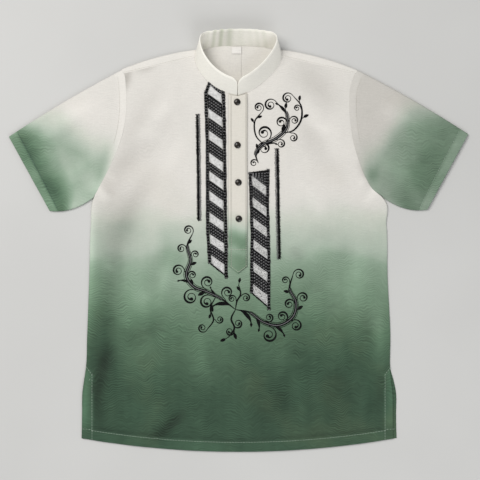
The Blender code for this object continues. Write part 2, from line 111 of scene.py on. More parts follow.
CREASES = tuple(Crease(*row) for row in (
    (-252, 45, -244, -205, -5, 17, -2), (-219, 30, -211, -205, -6, 17, 3.6),
    (-276, 20, -268, -180, 3, 13, 2.2), (-232, -190, -270, -262, 10, 15, -1.8),
    (-246, -222, -272, -330, -8, 15, 2.6), (-176, -80, -204, -200, -6, 18, 3.2),
    (-118, -10, -154, -140, 5, 13, 3.8), (-140, -5, -176, -125, 5, 12, -1.6),
    (-72, -140, -62, -272, 5, 12, 3.4), (-92, -322, -146, -388, -4, 12, 3.2),
    (-108, -315, -162, -372, -4, 11, -1.4), (-100, 285, -256, 105, -16, 22, -1.6),
    (-118, 312, -246, 150, -16, 20, 2.8), (-282, 122, -244, 70, 3, 10, 3.2),
    (182, -45, 108, -122, 6, 19, -1.6), (200, -78, 126, -152, 6, 18, 3),
    (78, -240, 98, -345, -4, 11, -1.8), (102, -225, 124, -372, -5, 13, 3.4),
    (36, -228, 206, -234, 2, 6, 1.6), (274, -250, 244, -352, -5, 11, -1.6),
    (252, -240, 222, -366, -5, 13, 3), (276, -110, 280, -246, 3, 12, 2.6),
    (96, 262, 232, 96, 14, 20, -1.4), (122, 290, 214, 158, 12, 18, 2), (274, 122, 240, 70, -3, 10, 3.2),
    (-408, 150, -352, 168, 4, 11, 3), (-412, 132, -356, 142, 4, 10, -1.4),
    (-262, 168, -366, 108, -6, 15, 3.2), (-262, 268, -376, 204, 5, 16, 2.4),
    (262, 164, 372, 112, 6, 15, 3.2), (268, 262, 392, 186, -5, 17, 2.6),
    (404, 170, 350, 150, 3, 12, -1.4),
    # Shorter, sharper creases that only the cloth's skin shows
    (-206, -172, -150, -190, 4, 6, 1.6), (-214, -186, -160, -204, -4, 6, -1.2),
    (-196, -250, -186, -352, 6, 11, 1.8), (-232, -262, -216, -368, -6, 12, 1.6),
    (-160, -210, -168, -300, 4, 10, 1.4), (20, -262, 8, -372, 4, 14, 1.8),
    (-22, -220, -34, -356, -4, 13, -1.2), (152, -258, 168, -372, 4, 12, 1.6),
    (186, -170, 208, -290, -6, 15, 1.8), (232, -20, 214, -150, 8, 16, 1.6),
    (254, 20, 246, -110, -6, 14, -1.2), (70, -140, 150, -176, 5, 12, -1),
    (-262, -20, -232, -76, 2, 8, 1.2), (-196, 246, -110, 262, 5, 14, 1),
    (-206, 208, -128, 190, -4, 13, 1.2), (-92, 200, -150, 110, 6, 16, 1.2),
    (128, 226, 204, 214, 4, 13, 1.2), (108, 120, 168, 40, -6, 16, 1.2), (-256, 132, -226, 112, 2, 6, 1.8),
    (-262, 112, -232, 84, 2, 6, -1.4), (252, 128, 226, 104, -2, 6, 1.8), (258, 106, 232, 78, -2, 6, -1.4),
    (-300, 118, -352, 84, 3, 9, 1.6), (-336, 208, -402, 178, 3, 10, 1.6),
    (-300, 232, -356, 190, -4, 12, -1.2), (-424, 176, -388, 190, 2, 7, 1.6),
    (-398, 118, -366, 124, 2, 7, 1.6), (300, 116, 352, 88, -3, 9, 1.6), (318, 216, 396, 164, 5, 12, 1.4),
    (428, 186, 392, 172, 2, 8, 1.4), (396, 112, 362, 122, 2, 8, 1.4),
))

# Heights on the body, and how deep the dye is at each of them
BODY_DYE_STOPS = (
    (-402, -294, -248, -202, -179, -156, -133, -110, -87, -64, -41, -24, -8, 10, 28, 43, 57, 70, 84, 100,
     130),
    (0.93, 0.92, 0.88, 0.83, 0.79, 0.73, 0.67, 0.62, 0.58, 0.53, 0.45, 0.38, 0.335, 0.30, 0.26, 0.21, 0.15,
     0.08, 0.03, 0.01, 0.0))
BODY_CLOUDS = tuple(Cloud(*row) for row in (
    (-264, -240, 26, 120, 110), (-218, 26, 34, 14, 26), (-214, -14, 40, 16, -20), (-142, 12, 24, 18, 20),
    (-106, 50, 24, 16, -14), (-130, -26, 26, 26, 30), (-110, -84, 50, 36, -26), (-162, 6, 20, 24, -24),
    (-70, -236, 50, 80, -44), (-176, -214, 40, 50, -30), (-112, -356, 26, 40, 80),
    (-196, -156, 36, 24, 14), (-172, -112, 34, 24, -22), (110, -106, 34, 44, 24), (196, -52, 44, 30, 24),
    (200, -116, 34, 24, -12), (150, -20, 40, 26, 14), (120, -270, 40, 70, 60), (214, -250, 60, 80, 50),
    (262, -326, 22, 50, 70), (262, -170, 24, 40, -30), (0, -150, 40, 30, -12),
))
SLEEVE_CLOUDS = tuple(Cloud(*row) for row in (
    (-404, 162, 24, 20, 0.1), (-412, 196, 22, 18, 0.08), (-344, 116, 32, 24, 0.07),
    (-360, 241, 28, 14, 0.06), (256, 128, 16, 16, 0.08), (374, 158, 44, 30, 0.04),
    (372, 110, 34, 22, 0.05),
))
# Long soft painted shades, and painted lights where positive, that lie along the folds
PAINTED_SHADES = tuple(Crease(*row) for row in (
    (-126, 316, -268, 70, 4, 26, -0.8), (-150, 150, -220, -90, 30, 22, -0.9),
    (-246, 130, -236, -110, 0, 34, -1), (-250, -220, -246, -300, 0, 14, -0.5),
    (-192, -20, -184, -160, 0, 24, 0.7), (-281, 96, -289, -250, 0, 8, 1.7),
    (-248, -182, -270, -372, 8, 15, -2.7), (-236, -196, -262, -250, 0, 16, -0.9),
    (-290, -236, -299, -378, 0, 7, 3), (-92, -318, -182, -392, -4, 13, -2.4),
    (-140, -388, 4, -402, 0, 13, 1.6), (-236, -186, -138, -160, 4, 16, -1.4),
    (-244, -60, -262, -200, 0, 15, -0.6), (-222, -328, -136, -330, 0, 24, 1.1),
    (-206, -200, -204, -280, 0, 14, 0.8), (-150, -200, -148, -300, 0, 13, 0.6),
    (136, -74, 196, -148, 0, 22, -0.8), (128, 22, 236, -34, 0, 26, -0.5),
    (184, -226, 178, -376, 0, 24, -0.8), (236, 0, 226, -140, 0, 22, 1),
    (112, -36, 214, -8, -8, 15, 0.6), (96, 356, 190, 236, -6, 30, -0.7),
    (120, 240, 180, 170, 0, 20, -0.5), (232, 162, 262, 100, 0, 11, -1.6),
    (170, -238, 240, -306, 0, 18, -0.7), (74, -250, 86, -362, 0, 15, -0.9),
    (16, -236, 60, -376, 0, 30, -0.8), (98, -10, 126, -40, 0, 12, -0.9),
    (118, -170, 112, -236, 0, 20, -0.6), (-24, -250, -16, -404, 0, 20, 0.5),
    (284, -244, 262, -366, 2, 9, -0.5), (292, -240, 297, -360, 0, 7, 1.6),
    (262, -160, 274, -260, 0, 16, 0.9), (250, -130, 240, -200, 0, 14, -0.8),
    (-208, 340, -226, 276, 0, 10, -1.5), (-200, 322, -150, 344, 0, 9, -0.9),
))


class SleeveDip(NamedTuple):
    """How a sleeve takes the dye, the heights above which it stays ivory, and the painted shade and painted
    light on it.
    """

    near: float
    far: float
    far_from: float
    far_reach: float
    ivory_y: float
    ivory_climb: float
    climb_from: float
    climb_reach: float
    band: float
    shade: float
    under_light: float


SLEEVE_DIPS = {
    Side.RIGHT: SleeveDip(0.42, 0.4, 0.6, 0.34, 184.0, 46.0, 262.0, 84.0, 0.16, 0.0, 0.9),
    Side.LEFT: SleeveDip(0.42, 0.16, 0.35, 0.42, 167.0, 88.0, 245.0, 88.0, 0.08, -0.9, -0.4),
}


def bell(value: Points, middle: float, width: float) -> Points:
    """Bell curve of height 1."""
    return np.exp(-((value - middle) / width) ** 2)


def cloud_sum(clouds: Sequence[Cloud], x: Points, y: Points) -> Points:
    """Sum of soft round clouds at each point."""
    return sum(c.rise * bell(x, c.x, c.reach_x) * bell(y, c.y, c.reach_y) for c in clouds)


def run_along(x: Points, y: Points) -> Points:
    """Length of a line up to each of its points."""
    return np.concatenate([[0.0], np.cumsum(np.hypot(np.diff(x), np.diff(y)))])


def smooth(value: Points) -> Points:
    """Ease from 0 to 1, level at both ends."""
    held = np.clip(value, 0.0, 1.0)
    return held * held * (3.0 - 2.0 * held)


def mix(low: Points, high: Points, share: Points) -> Points:
    """Value between low and high."""
    return low + (high - low) * share


def superellipse(x: Points, half: float, rise: float, fullness: Points) -> Points:
    """Height at x of a rounded arch that is half wide to each side, and squarer with more fullness."""
    share = np.clip(np.abs(x) / half, 0.0, 1.0)
    return rise * (1.0 - share ** fullness) ** (1.0 / fullness)


def hermite(t: Points, start: Points, leave: Points, end: Points, arrive: Points) -> Points:
    """Cubic from start to end with a given slope at each, for t from 0 to 1."""
    t2, t3 = t * t, t * t * t
    return ((2 * t3 - 3 * t2 + 1) * start + (t3 - 2 * t2 + t) * leave + (3 * t2 - 2 * t3) * end
            + (t3 - t2) * arrive)


def eased_curve(known: Sequence[float], values: Sequence[float], at: Points) -> Points:
    """Smooth curve through a table.

    Args:
        known: Rising arguments of the table.
        values: Value at each of them.
        at: Where the curve is wanted.

    Returns:
        Cubic Hermite interpolation with slopes from the neighbours.
    """
    known, values = np.asarray(known, float), np.asarray(values, float)
    slopes = np.gradient(values, known)
    at = np.clip(at, known[0], known[-1])
    i = np.clip(np.searchsorted(known, at) - 1, 0, len(known) - 2)
    step = known[i + 1] - known[i]
    t = (at - known[i]) / step
    return hermite(t, values[i], step * slopes[i], values[i + 1], step * slopes[i + 1])


@dataclass(frozen=True)
class ShirtForm:
    """Outline and heights of the laid shirt, in millimetres."""

    ply: float = 0.6
    fold_radius: float = 2.4
    laid_top: float = 4.8
    edge_top: float = 2.6
    hem_drop: float = 26.0
    hem_half: float = 302.0
    hem_depth: float = 20.0
    neck_half: float = 82.0
    neck_y: float = 352.0
    neck_depth: float = 70.0
    back_neck_rise: float = 24.0
    underarm_y: float = 83.0
    seam_y: float = 320.6
    fold_end_y: float = 327.5
    seam_neck_y: float = 353.0
    vent_top_y: float = -245.0
    vent_line: float = 279.8
    placket_x: float = -1.1
    ripple_height: float = 0.34

    def half_width(self, y: Points, side: Side, back: bool = False) -> Points:
        """Half width of the body at a level of its side edge."""
        column = "right" if side is Side.RIGHT else ("back_left" if back else "left")
        return eased_curve([l.y for l in LEVELS], [getattr(l, column) for l in LEVELS], y)

    def side_half(self, x: Points, y: Points) -> Points:
        """Half width on the side on which each point lies."""
        return np.where(x < 0, self.half_width(y, Side.RIGHT), self.half_width(y, Side.LEFT))

    def hem_y(self, x: Points) -> Points:
        """Hem line, lowest in the middle."""
        return LEVELS[0].y - self.hem_drop * (1.0 - (x / self.hem_half) ** 2)

    def neck_front_y(self, x: Points, growth: float = 0.0) -> Points:
        """Front neck line, or the one that the collar band stands on where grown."""
        fullness, depth = np.where(np.asarray(x) < 0, 1.7, 1.4), self.neck_depth + 1.6 * growth
        return self.neck_y - superellipse(x, self.neck_half + growth, depth, fullness)

    def neck_back_y(self, x: Points, growth: float = 0.0) -> Points:
        """Back neck line."""
        return self.neck_y + superellipse(x, self.neck_half + growth, self.back_neck_rise, 2.6)

    def shoulder_fold_y(self, x: Points) -> Points:
        """Line on which the back folds over to the front."""
        reach = np.abs(x) - self.neck_half
        return 366.3 - 0.125 * reach - 0.00102 * reach * reach

    def shoulder_seam_y(self, x: Points, end_half: Points) -> Points:
        """Forward shoulder seam from the neck corner to the armhole."""
        return mix(self.seam_neck_y, self.seam_y, (np.abs(x) - self.neck_half) / (end_half - self.neck_half))

    def creases(self, x: Points, y: Points, lines: Sequence[Crease] = CREASES) -> Points:
        """Sum of all creases at each point.

        Args:
            x: X of the points.
            y: Y of the points.
            lines: The creases, which may be the painted shades.

        Returns:
            Height that they add; for the painted shades, the painted shade and light.
        """
        total = np.zeros_like(x)
        for crease in lines:
            run_x, run_y = crease.x1 - crease.x0, crease.y1 - crease.y0
            length = math.hypot(run_x, run_y)
            along = ((x - crease.x0) * run_x + (y - crease.y0) * run_y) / length ** 2
            inside = np.clip(along, 0.0, 1.0)
            aside = ((x - crease.x0) * run_y - (y - crease.y0) * run_x) / length
            aside = aside - crease.bow * 4.0 * inside * (1.0 - inside)
            ends = np.maximum(np.sin(np.pi * inside), 0.0) ** 1.1
            total += crease.height * ends * bell(aside, 0.0, crease.width)
        return total

    def ripple(self, x: Points, y: Points, seed: int = 5) -> Points:
        """Slight unevenness of crisp cloth, a fixed sum of long waves.

        Args:
            x: X of the points.
            y: Y of the points.
            seed: Seed of the waves' directions.

        Returns:
            Height that it adds.
        """
        draw = np.random.default_rng(seed)
        total = np.zeros_like(x)
        for length in (150.0, 118.0, 92.0, 74.0, 58.0, 46.0, 37.0, 29.0):
            turn, phase = draw.uniform(0, 2 * np.pi, 2)
            wave = 2 * np.pi * (x * math.cos(turn) + y * math.sin(turn)) / length
            total += np.sin(wave + phase + 1.4 * np.sin(wave * 0.37 + phase)) * (length / 150.0) ** 0.5
        return self.ripple_height * total / 2.0

    def unevenness(self, x: Points, y: Points) -> Points:
        """Creases and ripples together."""
        return self.creases(x, y) + self.ripple(x, y)

    def sleeve_window(self, across: Points) -> Points:
        """How freely sleeve cloth lifts, from nothing at its two edges to 1 in the middle."""
        return np.maximum(np.sin(np.pi * np.clip(across, 0.0, 1.0)), 0.0) ** 0.5

    def front_height(self, x: Points, y: Points) -> Points:
        """Top of the front panel.

        Args:
            x: X of the points.
            y: Y of the points.

        Returns:
            Z at each point.
        """
        x, y = np.asarray(x, float), np.asarray(y, float)
        half = self.side_half(x, y)
        from_side = smooth((half - np.abs(x)) / 55.0)
        near_armhole = smooth((y - 25.0) / (self.underarm_y - 25.0))
        rise = np.maximum(from_side, near_armhole) * mix(0.35, 1.0, smooth((y - self.hem_y(x)) / 60.0))
        across = (y - self.underarm_y) / (self.fold_end_y - self.underarm_y)
        close = smooth(1.0 - (half - np.abs(x)) / 45.0) * smooth((y - 40.0) / 43.0)
        window = mix(1.0, self.sleeve_window(across), close)
        lift = self.unevenness(x, y) * window + 1.4 * close * self.sleeve_window(across)
        loose = mix(self.edge_top, self.laid_top, rise) + lift
        beside = smooth((np.abs(x - self.placket_x) - 21.0) / 26.0)
        below = smooth((-70.0 - y) / 30.0)
        near_seam = np.where(y > 240.0, smooth((self.shoulder_seam_y(x, half) - y) / 26.0), 1.0)
        loose = mix(self.laid_top, loose, np.maximum(beside, below) * near_seam)
        return np.maximum(loose, self.edge_top)

    def body_dye(self, x: Points, y: Points) -> Points:
        """Depth of the dip dye over the body, from 0 for ivory to 1 for deep green."""
        moved = y + 3.5 * self.ripple(x * 0.8, y * 1.6, seed=11) / self.ripple_height
        moved = moved - cloud_sum(BODY_CLOUDS, x, y)
        return np.interp(moved, *BODY_DYE_STOPS)

    def front_painted_shade(self, x: Points, y: Points) -> Points:
        """Painted shade and painted light on the front along its folds: the painted shades plus a share of
        the creases' heights.
        """
        return self.creases(x, y, PAINTED_SHADES) + 0.2 * self.creases(x, y)

    def sleeve_dye(self, side: Side, x: Points, y: Points, along: Points, across: Points) -> Points:
        """Depth of a sleeve's dye, by shares from armhole to cuff and from underarm to shoulder.

        Args:
            side: Which sleeve.
            x: X of the points.
            y: Y of the points.
            along: Shares from armhole to cuff.
            across: Shares from underarm to shoulder.

        Returns:
            Depth from 0 to 1.
        """
        dip = SLEEVE_DIPS[side]
        under = 0.25 * (1.0 - np.clip(across, 0.0, 1.0)) ** 3
        depth = dip.near * smooth((along + 0.03 + under) / 0.28)
        lower = smooth((0.5 - across) / 0.45)
        depth = depth + dip.far * smooth((along + 0.16 * lower - dip.far_from) / dip.far_reach)
        ivory = dip.ivory_y + dip.ivory_climb * smooth((np.abs(x) - dip.climb_from) / dip.climb_reach)
        wander = self.ripple(x, y, seed=23) / self.ripple_height
        depth = depth * (1.0 - smooth((y + 5.0 * wander - ivory) / 92.0 + 0.5))
        depth = depth - dip.band * smooth((along - 0.885) / 0.01)
        depth = depth + 0.02 * wander * smooth(depth / 0.2)
        return np.clip(depth + cloud_sum(SLEEVE_CLOUDS, x, y), 0.0, 1.0)

    def sleeve_painted_light_and_shade(self, side: Side, along: Points, across: Points) -> Points:
        """Painted shade and painted light on a sleeve, by the same shares."""
        dip = SLEEVE_DIPS[side]
        under = smooth((0.42 - across) / 0.42)
        return dip.shade + dip.under_light * (under + 0.5 * smooth((along - 0.6) / 0.3) * (1.0 - under))


FORM = ShirtForm()


# ---------- finishes


def add_node(tree: bpy.types.NodeTree, kind: str, inputs: dict, **settings: object) -> bpy.types.Node:
    """Add a node to a shader or geometry tree.

    Args:
        tree: The tree.
        kind: The node's type.
        inputs: The output to link, or the value to set, for each input.
        settings: Properties of the node.

    Returns:
        The node.
    """
    made = tree.nodes.new(kind)
    for key, value in settings.items():
        setattr(made, key, value)
    for key, value in inputs.items():
        if isinstance(value, Socket):
            tree.links.new(value, made.inputs[key])
        else:
            made.inputs[key].default_value = value
    return made


class NodeKit:
    """Short calls that add shader nodes to one material."""

    def __init__(self, name: str) -> None:
        """Start an empty node material.

        Args:
            name: Its name.
        """
        self.owner = bpy.data.materials.new(name)
        self.owner.use_nodes = True
        self.tree = self.owner.node_tree
        self.tree.nodes.clear()
        self.surface = add_node(self.tree, "ShaderNodeOutputMaterial", {}).inputs["Surface"]

    def node(self, kind: str, inputs: dict, output: object = 0, **settings: object) -> Socket:
        """Add a shader node and give one of its outputs."""
        return add_node(self.tree, "ShaderNode" + kind, inputs, **settings).outputs[output]

    def stretch(self, place: Socket, x: float, y: float) -> Socket:
        """Coordinates scaled on X and Y."""
        return self.node("Mapping", {"Vector": place, "Scale": (x, y, 1.0)})

    def noise(self, place: Socket, scale: float, detail: float, rough: float) -> Socket:
        """Noise between 0 and 1."""
        inputs = {"Vector": place, "Scale": scale, "Detail": detail, "Roughness": rough}
        return self.node("TexNoise", inputs, "Fac")

    def streaks(self, place: Socket, x: float, y: float, detail: float, rough: float) -> Socket:
        """Noise drawn out along one axis."""
        return self.noise(self.stretch(place, x, y), 1.0, detail, rough)

    def wave(self, place: Socket, scale: float, distortion: float, axis: str) -> Socket:
        """Wavy bands across one axis."""
        inputs = {"Vector": place, "Scale": scale, "Distortion": distortion, "Detail": 2.0,
                  "Detail Scale": 2.0}
        return self.node("TexWave", inputs, "Fac", wave_type="BANDS", bands_direction=axis)

    def math(self, operation: str, first: object, second: object = 0.0) -> Socket:
        """Arithmetic on one or two numbers."""
        return self.node("Math", {0: first, 1: second}, operation=operation)

    def add(self, first: object, *others: object) -> Socket:
        """Sum."""
        for other in others:
            first = self.math("ADD", first, other)
        return first

    def times(self, first: object, *others: object) -> Socket:
        """Product."""
        for other in others:
            first = self.math("MULTIPLY", first, other)
        return first

    def swing(self, value: Socket, gain: float) -> Socket:
        """Value between 0 and 1 turned into one about 0."""
        return self.times(self.math("SUBTRACT", value, 0.5), gain)

    def remap(self, value: object, low: float, high: float) -> Socket:
        """Stretch low to high over 0 to 1, smoothly."""
        inputs = {"Value": value, "From Min": low, "From Max": high}
        return self.node("MapRange", inputs, "Result", interpolation_type="SMOOTHSTEP")

    def ramp(self, value: object, stops: Sequence[tuple[float, Triple]]) -> Socket:
        """Colour ramp through the given stops.

        Args:
            value: Where along the ramp.
            stops: Places from 0 to 1 with their colours.

        Returns:
            The colour.
        """
        made = add_node(self.tree, "ShaderNodeValToRGB", {"Fac": value})
        elements = made.color_ramp.elements
        while len(elements) < len(stops):
            elements.new(1.0)
        for element, (place, colour) in zip(elements, stops):
            element.position = place
            element.color = (*colour, 1.0)
        return made.outputs["Color"]

    def mix_colours(self, first: object, second: Triple, amount: Socket) -> Socket:
        """Blend of two colours."""
        first = (*first, 1.0) if isinstance(first, tuple) else first
        return self.node("Mix", {0: amount, 6: first, 7: (*second, 1.0)}, 2, data_type="RGBA")

    def bump(self, height: Socket, strength: float, distance: float, **under: Socket) -> Socket:
        """Bumped normal, over the one given as Normal."""
        return self.node("Bump", {"Height": height, "Strength": strength, "Distance": distance, **under})

    def principled(self, colour: Socket, roughness: float, normal: Socket, sheen: float = 0.0,
                   specular: float = 0.5, coat: float = 0.0) -> Material:
        """Finish with the Principled shader, its constants on its own sockets.

        Args:
            colour: Base colour.
            roughness: Roughness.
            normal: Bumped normal.
            sheen: Sheen weight.
            specular: Specular level.
            coat: Coat weight.

        Returns:
            The finished material.
        """
        shader = self.node("BsdfPrincipled", {
            "Base Color": colour, "Normal": normal, "Roughness": roughness, "Specular IOR Level": specular,
            "Sheen Weight": sheen, "Sheen Roughness": 0.4, "Coat Weight": coat, "Coat Roughness": 0.08})
        self.tree.links.new(shader, self.surface)
        return self.owner


@dataclass(frozen=True)
class Finish:
    """Look of one material."""

    name: str

    def material(self) -> Material:
        """Node material, built once."""
        return bpy.data.materials.get(self.name) or self.build(NodeKit(self.name))

    def build(self, kit: NodeKit) -> Material:
        """Add this finish's nodes."""
        raise NotImplementedError


@dataclass(frozen=True)
class ClothFinish(Finish):
    """Sheer crisp weave that takes its colour from the mesh's dye attribute."""

    stops: tuple[tuple[float, Triple], ...]
    roughness: float = 0.6
    sheen: float = 0.06
    moire: float = 0.4
    moire_pitch: float = 0.0046
    moire_bend: float = 0.05
    olive: Triple = (0.112, 0.150, 0.080)
    # Beige for random stains, and for painted shade where the ply numbers fall below zero
    stain_and_shade: Triple = (0.64, 0.60, 0.525)

    def build(self, kit: NodeKit) -> Material:
        """Add this finish's nodes.

        Args:
            kit: Where the nodes go.

        Returns:
            The material.
        """
        place = kit.node("TexCoord", {}, "Object")
        # ply holds the lightness of extra plies together with painted shade and painted light
        dye, tone = (kit.node("Attribute", {}, "Fac", attribute_name=name) for name in ("dye", "ply"))
        blotch = kit.swing(kit.noise(place, 17.0, 4.0, 0.6), 0.09)
        streak = kit.swing(kit.streaks(place, 42.0, 5.0, 3.0, 0.55), 0.06)
        colour = kit.ramp(kit.add(dye, blotch, streak), self.stops)
        warm = kit.remap(kit.noise(place, 7.0, 3.0, 0.6), 0.46, 0.68)
        colour = kit.mix_colours(colour, self.olive, kit.times(warm, kit.remap(dye, 0.5, 0.85), 0.2))
        # Painted shade turns the colour toward the beige where ply is below zero; noise adds real beige
        # stains on pale cloth
        shaded = kit.times(kit.remap(kit.times(tone, -1.0), 0.0, 1.6), 0.3)
        stained = kit.times(kit.remap(kit.noise(place, 6.0, 2.0, 0.5), 0.5, 0.78), 0.3)
        pale = kit.remap(kit.math("SUBTRACT", 1.0, dye), 0.6, 1.0)
        colour = kit.mix_colours(colour, self.stain_and_shade, kit.times(kit.add(shaded, stained), pale))
        slub = kit.streaks(place, 55.0, 950.0, 2.0, 0.6)
        deep = kit.add(kit.times(kit.remap(dye, 0.3, 0.85), 0.9), 0.1)
        moire = kit.times(self.moire_lines(kit, place), deep)
        grain = kit.swing(kit.noise(place, 380.0, 2.0, 0.5), 0.12)
        # Brightness: real moiré, slubs and grain, plus the ply numbers with their painted shade and painted
        # light
        shade = kit.add(moire, kit.swing(slub, 0.16), grain, kit.times(tone, 0.2), 0.97)
        bump = kit.bump(kit.streaks(place, 60.0, 34.0, 3.0, 0.5), 0.5, 0.0016)
        bump = kit.bump(slub, 0.3, 0.0003, Normal=bump)
        weave = kit.math("MAXIMUM", kit.wave(place, 560.0, 0.4, "X"), kit.wave(place, 560.0, 0.4, "Y"))
        bump = kit.bump(weave, 0.2, 0.00015, Normal=bump)
        tinted = kit.node("VectorMath", {0: colour, "Scale": shade}, operation="SCALE")
        return kit.principled(tinted, self.roughness, bump, sheen=self.sheen, specular=0.18)

    def moire_lines(self, kit: NodeKit, place: Socket) -> Socket:
        """Watery lines where two layers of weave lie on each other, over long uneven streaks.

        Args:
            kit: Where the nodes go.
            place: Object coordinates.

        Returns:
            Brightness that they add.
        """
        bend = kit.swing(kit.streaks(place, 9.0, 5.0, 1.0, 0.5), self.moire_bend)
        shiver = kit.swing(kit.streaks(place, 29.0, 12.0, 2.0, 0.5), 0.048)
        warped = kit.add(kit.node("SeparateXYZ", {0: place}, "Y"), bend, shiver)
        line = kit.math("SINE", kit.times(warped, 2.0 * math.pi / self.moire_pitch))
        patch = kit.remap(kit.streaks(place, 17.0, 9.0, 3.0, 0.62), 0.42, 0.62)
        across = kit.times(kit.node("SeparateXYZ", {0: place}, "X"), 30.0)
        grain = kit.node("CombineXYZ", {"X": across, "Y": kit.times(warped, 430.0)})
        streak = kit.swing(kit.noise(grain, 1.0, 3.0, 0.62), 2.6)
        return kit.times(kit.add(kit.times(line, patch, 0.5), streak), self.moire)


@dataclass(frozen=True)
class ThreadFinish(Finish):
    """Embroidery thread, with its stitches running across one direction."""

    colour: Triple
    fleck: Triple
    roughness: float = 0.45
    pitch: float = 1100.0
    turn: float = 0.66
    fleck_share: float = 0.3
    fleck_below: float = 0.0
    speckle: float = 900.0
    mottle: float = 0.0
    hatch: float = 0.0

    def build(self, kit: NodeKit) -> Material:
        """Add this finish's nodes.

        Args:
            kit: Where the nodes go.

        Returns:
            The material.
        """
        place = kit.node("TexCoord", {}, "Object")
        turned = kit.node("Mapping", {"Vector": place, "Rotation": (0.0, 0.0, self.turn)})
        stitch = kit.wave(turned, self.pitch, 0.6, "Y")
        speck = kit.remap(kit.noise(kit.stretch(turned, 0.35, 1.0), self.speckle, 3.0, 0.6), 0.45, 0.7)
        below = kit.math("SUBTRACT", 1.0, kit.remap(kit.node("SeparateXYZ", {0: place}, "Y"), -0.06, 0.07))
        share = kit.add(kit.times(below, self.fleck_below), self.fleck_share)
        cloudy = kit.remap(kit.noise(place, 170.0, 3.0, 0.6), 0.4, 0.66)
        amount = kit.add(kit.times(speck, share), kit.times(stitch, self.fleck_share * 0.5),
                         kit.times(cloudy, self.mottle))
        if self.hatch:
            amount = kit.add(amount, kit.times(kit.wave(turned, 68.0, 0.8, "Y"), self.hatch))
        colour = kit.mix_colours(self.colour, self.fleck, amount)
        return kit.principled(colour, self.roughness, kit.bump(stitch, 0.8, 0.0004), specular=0.08)


@dataclass(frozen=True)
class PlainFinish(Finish):
    """Hard or plain surface with slight mottling."""

    colour: Triple
    other: Triple
    roughness: float
    scale: float
    coat: float = 0.0
    specular: float = 0.5

    def build(self, kit: NodeKit) -> Material:
        """Add this finish's nodes.

        Args:
            kit: Where the nodes go.

        Returns:
            The material.
        """
        cloudy = kit.noise(kit.node("TexCoord", {}, "Object"), self.scale, 3.0, 0.55)
        colour = kit.mix_colours(self.colour, self.other, kit.remap(cloudy, 0.4, 0.65))
        bump = kit.bump(cloudy, 0.05, 0.0002)
        return kit.principled(colour, self.roughness, bump, specular=self.specular, coat=self.coat)


DIP_DYE = (
    (0.0, (0.735, 0.712, 0.672)),
    (0.1, (0.676, 0.672, 0.626)),
    (0.2, (0.592, 0.620, 0.552)),
    (0.34, (0.430, 0.500, 0.422)),
    (0.48, (0.266, 0.358, 0.272)),
    (0.62, (0.160, 0.246, 0.168)),
    (0.76, (0.095, 0.165, 0.104)),
    (0.9, (0.046, 0.090, 0.055)),
    (1.0, (0.020, 0.045, 0.028)),
)
# Collar ramp: ivory cloth, its mint end used for painted shade on the band's back
IVORY_TO_MINT_SHADE = ((0.0, (0.90, 0.88, 0.815)), (1.0, (0.58, 0.61, 0.49)))
PLACKET_DYE = ((0.0, (0.655, 0.628, 0.570)), (0.16, (0.56, 0.57, 0.50))) + DIP_DYE[3:]
ORGANZA = ClothFinish("organza_dip_dyed", DIP_DYE)
PLACKET_CLOTH = ClothFinish("organza_placket", PLACKET_DYE, moire=0.12)
COLLAR_CLOTH = ClothFinish("collar_cloth", IVORY_TO_MINT_SHADE, moire=0.0)
LABEL_GAUZE = ClothFinish("label_weave", ((0.0, (0.81, 0.79, 0.76)), (1.0, (0.7, 0.68, 0.66))), moire=0.0,
                          stain_and_shade=(0.76, 0.74, 0.71))
BLACK_THREAD = ThreadFinish("thread_black", (0.004, 0.004, 0.0045), (0.026, 0.026, 0.028), fleck_share=0.35)
CHARCOAL_THREAD = ThreadFinish("thread_charcoal", (0.004, 0.004, 0.005), (0.12, 0.12, 0.125), pitch=700.0,
                               turn=-0.9, fleck_share=0.12, speckle=520.0, hatch=0.15)
SILVER_THREAD = ThreadFinish("thread_silver", (0.98, 0.98, 0.97), (0.1, 0.1, 0.1), roughness=0.42,
                             pitch=800.0, fleck_share=0.12, fleck_below=0.5, mottle=0.24)
PEWTER_THREAD = ThreadFinish("thread_pewter", (0.92, 0.92, 0.90), (0.06, 0.06, 0.06), roughness=0.42,
                             pitch=800.0, fleck_share=0.44, fleck_below=0.3, mottle=0.22)
GREY_THREAD = ThreadFinish("thread_grey", (0.34, 0.34, 0.345), (0.03, 0.03, 0.033), roughness=0.4,
                           speckle=300.0, fleck_share=0.6)
RIM_THREAD = ThreadFinish("thread_pale_rim", (0.70, 0.70, 0.69), (0.55, 0.55, 0.55), fleck_share=0.4)
LACE_THREAD = ThreadFinish("thread_lace_grey", (0.24, 0.24, 0.245), (0.08, 0.08, 0.09), roughness=0.4)
IVORY_THREAD = PlainFinish("sewing_thread_ivory", (0.60, 0.58, 0.51), (0.50, 0.49, 0.43), 0.5, 260.0)
SAGE_THREAD = PlainFinish("sewing_thread_sage", (0.33, 0.42, 0.34), (0.24, 0.32, 0.25), 0.5, 260.0)
DARK_THREAD = PlainFinish("sewing_thread_green", (0.06, 0.11, 0.09), (0.12, 0.19, 0.16), 0.5, 260.0)
BUTTON_RESIN = PlainFinish("button_dark", (0.007, 0.006, 0.005), (0.024, 0.015, 0.008), 0.2, 160.0, coat=0.25,
                           specular=0.4)
FLOOR_PAINT = PlainFinish("floor_pale", (0.60, 0.60, 0.59), (0.62, 0.62, 0.61), 0.85, 2.0, specular=0.1)


# ---------- meshes


